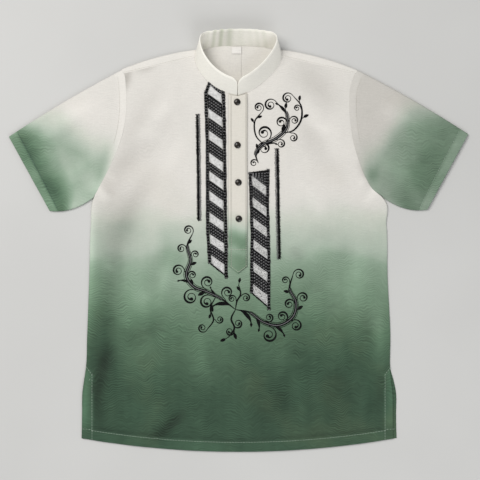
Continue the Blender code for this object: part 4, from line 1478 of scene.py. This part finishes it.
@dataclass
class StripedBand:
    """Upright band of slanted bars and pale cells inside a dark edge."""

    name: str
    left: Path2D
    right: Path2D
    cell_tops: Sequence[float]
    slope: float = -0.74
    cell: float = 17.8
    edge: float = 6.6
    end_edge: float = 2.8
    outline: float = 1.5
    beyond: float = 60.0
    fill: ThreadFinish = SILVER_THREAD
    lift: float = 0.35
    thickness: float = 0.55
    row_pitch: float = 5.8
    row_margins: tuple[float, float] = (2.9, 1.2)

    def edge_x(self, points: Path2D, y: Points) -> Points:
        """X of a side edge at a height."""
        return np.interp(y, *zip(*sorted((point[1], point[0]) for point in points)))

    def cloth_z(self, x: Points, y: Points) -> Points:
        """Height on which the stitching lies."""
        return FORM.front_height(x, y) + self.lift

    def slab(self, across: tuple[float, float], low: Line, high: Line, crown: float,
             step: float = 2.2) -> list[Patch]:
        """Raised area between two slanted lines and two shares of the width.

        Args:
            across: Shares of the band's width, from its left edge.
            low: Y of the lower line at each X.
            high: Y of the upper line at each X.
            crown: How far its middle swells.
            step: Size of its faces.

        Returns:
            A closed grid of sections with its ends pinched shut, or nothing where nothing is left of it.
        """
        mid = 0.5 * (low(np.array(0.0)) + high(np.array(0.0)))
        u = np.linspace(across[0], across[1], 9)
        x_guess = mix(self.edge_x(self.left, mid), self.edge_x(self.right, mid), u)
        y0, y1 = low(x_guess), high(x_guess)
        if np.all(y1 - y0 < 0.4):
            return []
        y1 = np.maximum(y1, y0 + 0.05)
        rows = max(int((y1 - y0).max() / step), 2) + 1
        v = np.linspace(0.0, 1.0, rows)[:, None]
        y = mix(y0, y1, v)
        x = mix(self.edge_x(self.left, y), self.edge_x(self.right, y), u)
        base = self.cloth_z(x, y)
        side = np.minimum(np.abs(u - across[0]), np.abs(u - across[1])) * 38.0
        ends = np.minimum(v, 1.0 - v) * (y1 - y0)
        round_off = np.sqrt(np.clip(np.minimum(side, ends) / 1.6, 0.0, 1.0))
        top, under = base + self.thickness * round_off * (1.0 + crown), base - 0.15
        top[[0, -1]] = under[[0, -1]]
        loop = [np.concatenate([a, b[:, ::-1]], axis=1) for a, b in ((x, x), (y, y), (top, under))]
        return [Patch(*loop, closed=True)]

    def build(self) -> None:
        """Make the bars, the cells and the edge of the band."""
        middle_x = 0.5 * (self.left[0][0] + self.right[0][0])
        inner = self.edge / abs(self.right[0][0] - self.left[0][0])

        def slanted(offset: float) -> Line:
            """Slanted line through the band, kept between its ends."""
            return lambda x: np.clip(offset + self.slope * (np.asarray(x) - middle_x),
                                     self.end_y(x, -1) + self.end_edge, self.end_y(x, 0) - self.end_edge)

        bars, cells = [], []
        tops = self.cell_tops
        for above, top in zip([tops[0] + self.beyond + self.cell, *tops[:-1]], tops):
            foot = top - (self.beyond if top == tops[-1] else self.cell)
            cells += self.slab((inner * 0.86, 1.0 - inner * 0.86), slanted(foot), slanted(top), 0.3)
            bars += self.slab((inner * 0.8, 1.0 - inner * 0.8), slanted(top), slanted(above - self.cell), 0.1)
        dress(make_piece(self.name + "_bars", bars, CHARCOAL_THREAD, weld=True))
        dress(make_piece(self.name + "_cells", cells, self.fill, weld=True))
        rims = [ribbon(self.rim(slab), width=1.3, height=0.28) for slab in cells]
        dress(make_piece(self.name + "_cell_rims", rims, RIM_THREAD, flip=True))
        rows = [row for slab in bars for row in self.woven_rows(slab)]
        STITCHES.sew(self.name + "_woven_rows", rows, pitch=4.7, length=2.9, width=2.3, finish=GREY_THREAD,
                     turn=0.08, uneven=0.15)
        self.frame_edge(cells)

    def rim(self, slab: Patch) -> Points:
        """Line just inside the edge of a cell, round it once.

        Args:
            slab: The cell.

        Returns:
            Rows of X, Y and Z.
        """
        half = slab.x.shape[1] // 2
        x, y = slab.x[:, :half], slab.y[:, :half]
        ring = [np.concatenate([g[:, 0], g[-1, 1:], g[::-1, -1][1:], g[0, ::-1][1:]]) for g in (x, y)]
        ring = np.column_stack(ring)
        centre = ring.mean(axis=0)
        away = ring - centre
        ring = centre + away * (1.0 - 1.0 / np.maximum(np.linalg.norm(away, axis=1), 3.0))[:, None]
        return np.column_stack([ring, self.cloth_z(ring[:, 0], ring[:, 1]) + 0.8 * self.thickness])

    def woven_rows(self, slab: Patch) -> list[Points]:
        """Lines of float stitches over one bar, parallel to its slant.

        Args:
            slab: The bar.

        Returns:
            Rows of X, Y and Z for each line.
        """
        half = slab.x.shape[1] // 2
        rise = slab.y[-1, :half] - slab.y[0, :half]
        if rise[half // 2] <= 3.0:
            return []
        height = float(rise.max())
        grid = np.stack([slab.x, slab.y, slab.z], axis=-1)[:, 1:half - 1]
        rows = []
        for offset in np.arange(self.row_margins[0], height - self.row_margins[1], self.row_pitch):
            index = offset / height * (len(grid) - 1)
            low = int(index)
            rows.append(mix(grid[low], grid[low + 1], index - low) + np.array([0.0, 0.0, 0.15]))
        return rows

    def end_y(self, x: Points, row: int) -> Points:
        """Y of the band's upper end for row 0, or of its lower end for row -1."""
        (x0, y0), (x1, y1) = self.left[row], self.right[row]
        return mix(y0, y1, (np.asarray(x) - x0) / (x1 - x0))

    def frame_edge(self, cells: Sequence[Patch]) -> None:
        """Dark braid of crossing stitches round the band, and a dark line along each cell.

        Args:
            cells: The band's cells.
        """
        half, end = 0.5 * self.edge, 0.5 * self.end_edge
        left = [(x + half, y - 2.0 * (i == 0)) for i, (x, y) in enumerate(self.left)]
        right = [(x - half, y) for x, y in self.right]
        top, bottom = ([(side[row][0] + inset, side[row][1] + rise)
                        for side, inset in ((self.left, 1.0), (self.right, -1.0))]
                       for row, rise in ((0, -end), (-1, end)))
        runs = [(left, self.edge), (right, self.edge), (top, self.end_edge), (bottom, self.end_edge)]
        beds = [ribbon(on_front(points, 0.25), width * 0.86, 0.6) for points, width in runs]
        for slab in cells:
            count = slab.x.shape[1] // 2
            for row, shift in ((0, -0.5), (-1, 0.5)):
                x, y = slab.x[row, :count], slab.y[row, :count] + shift * self.outline
                beds.append(ribbon(np.column_stack([x, y, self.cloth_z(x, y) + 0.3]), self.outline, 0.55))
        dress(make_piece(self.name + "_edge", beds, BLACK_THREAD, flip=True))
        sides, ends = ([on_front(points, 0.6) for points, _ in part] for part in (runs[:2], runs[2:]))
        for label, lines, length, turn in (("edge", sides, self.edge, 0.95),
                                           ("cross", sides, self.edge, -0.95),
                                           ("end", ends, self.end_edge * 1.4, 0.9)):
            STITCHES.sew(self.name + "_%s_stitches" % label, lines, pitch=2.1, length=length, width=1.35,
                         finish=BLACK_THREAD, turn=turn, uneven=0.22)
        flecks = [on_front([(x + dx, y) for x, y in side], 1.0)
                  for side in (left, right) for dx in (-1.6, 1.5)]
        STITCHES.sew(self.name + "_flecks", flecks, pitch=5.6, length=3.4, width=1.1, finish=GREY_THREAD,
                     turn=0.8, uneven=0.6)


def ribbon(line: Points, width: Points | float, height: float, taper: float = 0.0) -> Patch:
    """Closed raised ribbon along a line on the cloth.

    Args:
        line: Rows of X, Y and Z.
        width: Its width, or one for each point.
        height: Height of its crown.
        taper: Share of the height that goes with the width.

    Returns:
        A closed grid, with pinched ends.
    """
    widths = np.broadcast_to(np.asarray(width, float), (len(line),))
    tangent = np.gradient(line[:, :2], axis=0)
    tangent /= np.maximum(np.linalg.norm(tangent, axis=1), 1e-9)[:, None]
    normal = np.stack([-tangent[:, 1], tangent[:, 0]], axis=1)
    across = np.array([-0.5, -0.44, -0.25, 0.0, 0.25, 0.44, 0.5, 0.0])
    up = np.array([0.0, 0.5, 0.88, 1.0, 0.88, 0.5, 0.0, -0.2])
    scale = height * mix(1.0, np.clip(widths / max(widths.max(), 1e-6), 0.0, 1.0), taper)
    fade = np.ones(len(line))
    fade[[0, -1]] = 0.02
    gx = line[:, :1] + normal[:, :1] * across * (widths * fade)[:, None]
    gy = line[:, 1:2] + normal[:, 1:] * across * (widths * fade)[:, None]
    gz = line[:, 2:] + up * (scale * fade)[:, None]
    return Patch(gx, gy, gz, closed=True)


@dataclass
class SideLine:
    """Thin upright line of close cross stitches beside a band, with paler threads between."""

    name: str
    points: Path2D
    inward: float = 1.0
    width: float = 5.4

    def build(self) -> None:
        """Make the line's bed, its dark stitches and the paler lace on its inner side."""
        bed = [ribbon(on_front(self.points, 0.15), self.width * 0.62, 0.5)]
        dress(make_piece(self.name + "_bed", bed, BLACK_THREAD, flip=True))
        lace = self.inward * self.width * 0.72
        runs = (("dark", 0.0, 1.5, self.width, 1.1, BLACK_THREAD, 1.25, 0.3),
                ("rung", lace * 0.3, 2.4, self.width * 0.9, 0.9, BLACK_THREAD, -0.95, 0.4),
                ("lace", lace, 1.8, self.width * 0.8, 1.0, LACE_THREAD, 1.0, 0.4),
                ("mesh", lace, 2.9, self.width * 0.8, 0.7, GREY_THREAD, -0.9, 0.4))
        for label, shift, pitch, length, thread, finish, turn, uneven in runs:
            line = on_front([(x + shift, y) for x, y in self.points], 0.3 if shift == lace else 0.55)
            STITCHES.sew(self.name + "_" + label, [line], pitch, length, thread, finish, turn=turn,
                         uneven=uneven)


class Kind(Enum):
    """What a spray ends in."""

    CURL = "curl"
    LEAF = "leaf"
    SWEEP = "sweep"


class Spray(NamedTuple):
    """Spray that leaves a stem: where, on which side, what it is, its size and its way off the stem."""

    at: float
    side: int
    kind: Kind
    size: float
    lead: float = 0.8
    gap: float = 3.0
    turns: float = 1.5


def dome(centre: Sequence[float], radius: float, height: float = 0.8, steps: int = 14) -> Patch:
    """Small round heap of stitches on the front.

    Args:
        centre: Its middle, X and Y first.
        radius: Its radius.
        height: Its height.
        steps: Points round it.

    Returns:
        Its rings as a closed grid.
    """
    turn = np.linspace(0.0, -2 * np.pi, steps, endpoint=False)
    profile = np.array([(1.0, 0.0), (0.96, 0.45), (0.75, 0.8), (0.4, 0.97), (0.02, 1.0)])
    out, up = radius * profile[:, :1], height * profile[:, 1:]
    gx, gy = centre[0] + out * np.cos(turn), centre[1] + out * np.sin(turn)
    gz = FORM.front_height(gx, gy) + 0.15 + up
    return Patch(gx, gy, gz, closed=True)


@dataclass
class Vine:
    """Stem with curls, leaves and crescents, each given as the values of a Spray."""

    stem: Path2D
    sprays: Sequence[tuple]
    stem_width: float = 2.4
    shaded: bool = False
    thin: float = 1.25

    def curve(self, count: int = 90) -> Points:
        """Smooth line through the stem's guide points.

        Args:
            count: How many points.

        Returns:
            Rows of X and Y.
        """
        guide = np.asarray(self.stem, float)
        known = np.linspace(0.0, 1.0, len(guide))
        at = np.linspace(0.0, 1.0, count)
        return np.column_stack([eased_curve(known, guide[:, 0], at), eased_curve(known, guide[:, 1], at)])

    def lay(self, line: Points, widths: Points | float, height: float = 0.6, lift: float = 0.2) -> Patch:
        """Ribbon of stitches along a line on the front."""
        z = FORM.front_height(line[:, 0], line[:, 1]) + lift
        return ribbon(np.column_stack([line, z]), widths, height, taper=0.5)

    def curl(self, start: Points, along: Points, spray: Spray) -> list[Patch]:
        """Stalk that winds into a curl with a round eye.

        Args:
            start: Where it leaves the stem.
            along: The stem's direction there.
            spray: What to make.

        Returns:
            Its stalk and its eye.
        """
        out = spray.side * np.array([-along[1], along[0]])
        centre = start + along * spray.lead * spray.size + out * (spray.size + spray.gap)
        entry = centre - out * spray.size
        reach = max(float(np.hypot(*(entry - start))), 1.0)
        t = np.linspace(0.0, 1.0, 14)[:-1, None]
        tail = hermite(t, start, along * reach, entry, along * reach)
        wind = np.linspace(0.0, 1.0, 46)
        turn = spray.side * 2.0 * np.pi * spray.turns * wind
        radius = spray.size * (1.0 - 0.74 * wind ** 0.85)
        spiral = centre - radius[:, None] * (np.cos(turn)[:, None] * out
                                             + np.sin(turn)[:, None] * np.array([-out[1], out[0]]))
        line = np.concatenate([tail, spiral])
        share = np.linspace(0.0, 1.0, len(line))
        swell = bell(share, 0.42, 0.13) + 0.9 * smooth((share - 0.8) / 0.18)
        return [self.lay(line, self.thin + 0.2 * spray.size * swell), dome(line[-1], 0.22 * spray.size)]

    def walk(self, start: Points, along: Points, bends: Points, length: float) -> Points:
        """Line of even steps, each turned from the stem's direction by its bend."""
        angles = math.atan2(along[1], along[0]) + bends
        steps = np.column_stack([np.cos(angles), np.sin(angles)]) * (length / len(bends))
        return start + np.cumsum(steps, axis=0)

    def leaf(self, start: Points, along: Points, spray: Spray) -> list[Patch]:
        """Bowed leaf on a stalk.

        Args:
            start: Where it leaves the stem.
            along: The stem's direction there.
            spray: What to make.

        Returns:
            Its ribbon.
        """
        share = np.linspace(0.0, 1.0, 34)
        line = self.walk(start, along, spray.side * (0.35 + 0.75 * spray.lead * share), spray.size)
        body = np.clip((share - 0.38) / 0.62, 0.0, 1.0)
        widths = self.thin + 0.26 * spray.size * np.sin(np.pi * body ** 0.8) ** 0.9
        return [self.lay(line, widths - 0.7 * smooth((share - 0.9) / 0.1), 0.75)]

    def sweep(self, start: Points, along: Points, spray: Spray) -> list[Patch]:
        """Long crescent that swells in its middle and ends in a bud.

        Args:
            start: Where it leaves the stem.
            along: The stem's direction there.
            spray: What to make.

        Returns:
            Its ribbon.
        """
        share = np.linspace(0.0, 1.0, 44)
        line = self.walk(start, along, spray.side * (0.25 + 1.5 * spray.lead * share ** 1.4), spray.size)
        swell = 0.15 * np.sin(np.pi * share ** 0.8) ** 3 + 0.09 * bell(share, 0.88, 0.07)
        widths = 0.7 * self.thin + spray.size * swell
        return [self.lay(line, widths - self.thin * 0.5 * smooth((share - 0.94) / 0.06), 0.8)]

    def patches(self) -> tuple[list[Patch], list[Patch]]:
        """Dark stitching and the paler stitching that shades the stem.

        Returns:
            The dark patches and the pale ones.
        """
        line = self.curve()
        share = np.linspace(0.0, 1.0, len(line))
        tangent = np.gradient(line, axis=0)
        tangent /= np.linalg.norm(tangent, axis=1)[:, None]
        widths = self.thin + (self.stem_width - self.thin) * np.sin(np.pi * share) ** 0.8
        dark, pale = [self.lay(line, widths, 0.7)], []
        if self.shaded:
            inner = slice(12, -12)
            across = np.column_stack([-tangent[:, 1], tangent[:, 0]])
            pale.append(self.lay(line[inner], 0.22 * widths[inner], 0.3, 0.72))
            for side in (-1, 1):
                beside = line + across * (side * (0.5 * widths + 1.9 * np.sin(np.pi * share)))[:, None]
                dark.append(self.lay(beside[inner], 0.8 * self.thin, 0.5))
        shapes = {Kind.CURL: self.curl, Kind.LEAF: self.leaf, Kind.SWEEP: self.sweep}
        for spray in (Spray(*row) for row in self.sprays):
            index = int(spray.at * (len(line) - 1))
            dark += shapes[spray.kind](line[index], tangent[index], spray)
        return dark, pale


CURL, LEAF, SWEEP = Kind
UPPER_VINES = (
    # An S that climbs from beside the placket to below the collar
    Vine(((38, 148), (33, 167), (46, 184), (72, 196), (92, 216), (92, 244), (76, 262)), (
        (0.02, 1, CURL, 8, 0.2, 0, 1.3), (0.1, -1, LEAF, 20, 0.9), (0.15, -1, CURL, 13, 0.9),
        (0.22, 1, LEAF, 14, 0.5), (0.34, -1, SWEEP, 30, 0.6), (0.36, 1, CURL, 15, 0.6, 3, 1.6),
        (0.48, -1, CURL, 9, 0.9, 4, 1.4), (0.56, 1, LEAF, 24, 0.4), (0.64, 1, CURL, 12, 0.7),
        (0.72, -1, CURL, 9), (0.82, 1, SWEEP, 34, 0.5), (0.86, -1, LEAF, 18, 0.6),
        (0.99, 1, CURL, 12, 0.9, 0, 1.6)), stem_width=5.6, shaded=True),
    # Its right-hand branch
    Vine(((86, 206), (106, 212), (120, 232), (120, 258), (106, 276)), (
        (0.12, -1, CURL, 9, 0.8, 3, 1.4), (0.5, -1, LEAF, 18, 0.9), (0.66, 1, CURL, 7, 0.9, 2, 1.4),
        (0.82, -1, LEAF, 16, 0.7), (0.98, 1, CURL, 11, 0.7, 0, 1.6)), stem_width=3.6),
    # Its left-hand branch, under the collar
    Vine(((47, 185), (33, 202), (31, 228), (44, 246)), (
        (0.6, 1, LEAF, 14, 0.6), (0.75, -1, LEAF, 14, 0.6), (0.97, 1, CURL, 10, 0.6, 0, 1.6)),
         stem_width=3.0),
)
LOWER_VINES = (
    # Right side: a wave that climbs beside the shorter band
    Vine(((-6, -132), (-32, -112), (-60, -98), (-86, -88), (-100, -66), (-92, -38), (-98, -10), (-88, 14)), (
        (0.05, 1, SWEEP, 44, 0.9), (0.08, -1, CURL, 12, 1.2, 4, 1.6), (0.17, 1, CURL, 14, 1.2, 5, 1.6),
        (0.2, -1, SWEEP, 24, 0.4), (0.28, 1, LEAF, 22, 0.9), (0.27, -1, CURL, 13, 0.8, 4, 1.6),
        (0.37, 1, CURL, 15, 0.8, 4, 1.6), (0.42, -1, LEAF, 18, 0.7), (0.48, 1, SWEEP, 28, 0.7),
        (0.5, -1, CURL, 9), (0.58, 1, CURL, 12, 0.8, 3, 1.6), (0.66, -1, LEAF, 18),
        (0.74, -1, CURL, 8, 0.9, 2, 1.4), (0.82, 1, CURL, 9, 0.8, 2), (0.86, -1, LEAF, 15, 0.6),
        (0.99, 1, CURL, 10, 0.4, 0, 1.6)), stem_width=6.4, shaded=True),
    # Left side: a wave under the longer band
    Vine(((-6, -132), (22, -138), (48, -156), (78, -162), (104, -146), (110, -118), (98, -92), (104, -66)), (
        (0.04, -1, SWEEP, 44, 0.9), (0.2, -1, SWEEP, 34, 0.7), (0.27, 1, CURL, 9, 0.9, 4),
        (0.31, -1, CURL, 15, 1.0, 4, 1.6), (0.38, -1, SWEEP, 34, 0.6), (0.42, 1, CURL, 12, 0.8, 4, 1.6),
        (0.51, -1, CURL, 12, 0.8, 3, 1.6), (0.62, -1, LEAF, 20, 0.6), (0.65, 1, CURL, 11),
        (0.71, -1, CURL, 11), (0.8, 1, LEAF, 18), (0.9, 1, CURL, 8, 0.8, 2, 1.4),
        (0.99, -1, CURL, 11, 0.6, 0, 1.6)), stem_width=6.4, shaded=True),
    # Middle: drops between the waves
    Vine(((-6, -132), (-14, -150), (-8, -168), (-20, -186)), (
        (0.34, 1, CURL, 10), (0.55, -1, CURL, 9, 0.9), (0.7, 1, LEAF, 20, 0.5),
        (0.98, -1, LEAF, 18, 0.4)), stem_width=3.6),
    Vine(((-6, -132), (-3, -116), (4, -102), (0, -84)), (
        (0.25, 1, CURL, 8, 0.8, 2), (0.5, -1, CURL, 9, 0.8, 2), (0.7, 1, LEAF, 15, 0.4),
        (0.97, -1, LEAF, 15, 0.3)), stem_width=3.0),
    Vine(((-44, -108), (-54, -130), (-48, -152), (-60, -170)), (
        (0.2, 1, LEAF, 16, 0.6), (0.42, -1, LEAF, 14, 0.6), (0.6, 1, CURL, 8),
        (0.98, -1, CURL, 9, 0.5, 0)), stem_width=3.0),
)


def embroider(name: str, vines: Sequence[Vine]) -> None:
    """Stitch a group of vines as a dark piece and, where shaded, a pale one.

    Args:
        name: Piece name.
        vines: The vines of the group.
    """
    stitched = [vine.patches() for vine in vines]
    dark, pale = ([patch for parts in stitched for patch in parts[tone]] for tone in (0, 1))
    dress(make_piece(name, dark, BLACK_THREAD, flip=True))
    if pale:
        dress(make_piece(name + "_shading", pale, LACE_THREAD, flip=True))


@dataclass
class Sewing:
    """Topstitching of hems, vents, cuffs, placket and shoulders."""

    sleeves: Sequence[Sleeve] = ()
    pitch: float = 5.2
    length: float = 4.0
    width: float = 0.85
    sink: float = 0.1
    placket_x: tuple[float, float] = (FORM.placket_x - 13.0, FORM.placket_x + 15.6)
    placket_top: float = 7.55

    def build(self) -> None:
        """Sew every visible seam."""
        runs = [("hem", [self.hem_line()], SAGE_THREAD, 1.0),
                ("vent", self.vent_lines(), SAGE_THREAD, 1.0),
                ("placket", self.placket_sides(top=276.0, foot=2.0), IVORY_THREAD, 0.75),
                ("placket_end", self.placket_end(), IVORY_THREAD, 0.75),
                ("shoulder", self.shoulder_lines(), IVORY_THREAD, 0.6)]
        for sleeve in self.sleeves:
            name = sleeve.side.name.lower()
            cuff = DARK_THREAD if sleeve.side is Side.RIGHT else SAGE_THREAD
            fell = sleeve.cross_line(sleeve.length - sleeve.fell, low=0.45)
            runs += [("cuff_" + name, [sleeve.cross_line(sleeve.hem + 0.6)], cuff, 1.0),
                     ("fell_" + name, [fell], IVORY_THREAD, 0.55)]
        for name, lines, finish, scale in runs:
            STITCHES.sew(name + "_stitches", lines, self.pitch * scale, self.length * scale,
                         self.width * scale, finish)

    def hem_line(self) -> Points:
        """Stitches that hold the hem's turned edge."""
        x = np.linspace(-FORM.vent_line, FORM.vent_line, 120)
        y = FORM.hem_y(x) + FORM.hem_depth - 1.6
        return np.column_stack([x, y, FORM.front_height(x, y) + 0.4 + self.sink])

    def vent_lines(self) -> list[Points]:
        """Stitches along each vent, from its top corner to the hem, and the boxed corners.

        Returns:
            The lines.
        """
        paths = []
        for sign in (-1.0, 1.0):
            inner = sign * (FORM.vent_line + 1.2)
            corner = (inner, FORM.vent_top_y - 12.0)
            end = (inner, FORM.hem_y(FORM.vent_line) + FORM.hem_depth - 2.0)
            paths.append(((sign * 290.6, FORM.vent_top_y + 1.0), corner, end))
            if sign < 0:
                paths.append((corner, (sign * 285.5, FORM.vent_top_y - 21.0)))
            low = FORM.hem_y(sign * 298.0)
            paths.append(((inner, low - 1.0), (inner, low + 17.5), (sign * 297.0, low + 18.5)))
        return [on_front(path, 0.4 + self.sink, 4.0) for path in paths]

    def placket_sides(self, top: float, foot: float) -> list[Points]:
        """Edge stitching on both sides of the placket."""
        return [np.array([(x, y, self.placket_top) for y in np.linspace(top, foot, 80)])
                for x in self.placket_x]

    def placket_end(self) -> list[Points]:
        """Stitching of the placket's green end: sides, cross line and point."""
        z, (left, right) = self.placket_top, self.placket_x
        point = np.array([(left, -49.0, z), (0.5 * (left + right), -60.0, z), (right, -49.0, z)])
        across = np.array([(left, -16.5, z), (right, -16.5, z)])
        return [*self.placket_sides(top=-1.0, foot=-48.0), across, point]

    def shoulder_lines(self) -> list[Points]:
        """Stitching beside each forward shoulder seam.

        Returns:
            The lines.
        """
        lines = []
        for sign, side in ((-1.0, Side.RIGHT), (1.0, Side.LEFT)):
            end = float(FORM.half_width(np.array(FORM.seam_y), side))
            x = sign * np.linspace(90.0, end - 2.0, 40)
            y = FORM.shoulder_seam_y(x, end) + 2.2
            lines.append(np.column_stack([x, y, np.full_like(x, FORM.laid_top + self.sink)]))
        return lines


# ---------- studio


@dataclass
class Studio:
    """Plain pale floor, soft light and a camera straight above."""

    camera_height: float = 2.6
    frame_width: float = 0.9216
    sensor_width: float = 36.0
    centre: tuple[float, float] = (0.0028, 0.0013)
    floor_half: float = 4000.0
    floor_z: float = -0.3

    def build(self) -> None:
        """Make the floor, the lights and the camera."""
        self.floor()
        self.light("key_light", (-1.3, 1.3, 2.6), size=1.9, power=67.0, colour=(1.0, 0.98, 0.95))
        self.light("fill_light", (0.9, -1.9, 1.7), size=2.0, power=27.0, colour=(1.0, 1.0, 1.0))
        world = bpy.data.worlds.new("studio_world")
        world.use_nodes = True
        background = world.node_tree.nodes["Background"]
        background.inputs["Color"].default_value = (0.97, 0.985, 1.0, 1.0)
        background.inputs["Strength"].default_value = 0.36
        bpy.context.scene.world = world
        bpy.context.scene.view_settings.view_transform = "Standard"
        self.camera()

    def floor(self) -> None:
        """Pale floor just below the shirt."""
        ends = (-self.floor_half, self.floor_half)
        patch = Patch(*np.meshgrid(ends, ends), np.full((2, 2), self.floor_z))
        make_piece("studio_floor", [patch], FLOOR_PAINT)

    def light(self, name: str, place: Triple, size: float, power: float, colour: Triple) -> None:
        """Square soft light aimed at the shirt.

        Args:
            name: Its name.
            place: Where it stands, in metres.
            size: Its side, in metres.
            power: Its power, in watts.
            colour: Its colour.
        """
        lamp = add_object(name, bpy.data.lights.new(name, "AREA"))
        lamp.data.size = size
        lamp.data.energy = power
        lamp.data.color = colour
        lamp.location = place
        x, y, z = place
        lamp.rotation_euler = (math.acos(z / math.hypot(x, y, z)), 0.0, math.atan2(-y, -x) - math.pi / 2)

    def camera(self) -> None:
        """Long lens looking straight down."""
        camera = add_object("camera", bpy.data.cameras.new("camera"))
        camera.data.sensor_width = self.sensor_width
        camera.data.lens = self.sensor_width * self.camera_height / self.frame_width
        camera.data.clip_end = 20.0
        camera.location = (*self.centre, self.camera_height)
        bpy.context.scene.camera = camera


def corners(box: tuple) -> list[list[float]]:
    """Box corners as plain numbers."""
    return [[float(c) for c in corner] for corner in box]


def main() -> None:
    """Build the shirt, piece by piece, and the studio round it."""
    logging.basicConfig(level=logging.INFO, format="%(name)s %(message)s")
    Studio().build()
    BackPanel().build()
    FrontPanel().build()
    sleeves = (Sleeve(Side.RIGHT, cuff_top=(-440.4, 199.5), cuff_bottom=(-362.0, 57.0)),
               Sleeve(Side.LEFT, cuff_top=(440.4, 204.5), cuff_bottom=(362.0, 59.5)))
    for sleeve in sleeves:
        sleeve.build()
    CollarBand().build()
    PlacketStrip("placket_cloth", "placket", width=36.0, end_y=-49.0, bottom=6.4, flat=(0.036, 0.345),
                 rests_on=["front_cloth", "underlap_cloth"], point=13.5, waves=0.12).build()
    PlacketStrip("underlap_cloth", "placket_underlap", width=28.0, end_y=-44.0, bottom=5.1,
                 flat=(0.028, 0.326), rests_on=["front_cloth"]).build()
    Buttons().build()
    NeckLabel().build()
    StripedBand("band_right",
                left=((-58.5, 304.5), (-66, 284), (-65.9, 273), (-63.2, 183), (-62.5, 18.6),
                      (-58.5, -42.2)),
                right=((-26, 288), (-24.1, 237.3), (-22.2, 72.2), (-20.6, -8.6), (-20.4, -71)),
                cell_tops=(288, 243.5, 201.5, 159, 124, 86, 45.5, 5.5, -34.5), slope=-0.7).build()
    StripedBand("band_left",
                left=((18.9, 131), (20.3, 99.3), (23, 4.8), (22, -28.8), (22, -99.1)),
                right=((59.6, 135.7), (58.7, 72.2), (61.3, -35.5), (61.3, -131.7)),
                cell_tops=(114, 74, 35, -6, -49, -92), fill=PEWTER_THREAD).build()
    SideLine("line_right", ((-79.6, 241.7), (-77.6, 120), (-77, 39))).build()
    SideLine("line_left", ((75, 176), (76.8, 60), (79, -34.6)), inward=-1).build()
    embroider("scrolls_upper", UPPER_VINES)
    embroider("scrolls_lower", LOWER_VINES)
    Sewing(sleeves).build()


if __name__ == "__main__":
    main()
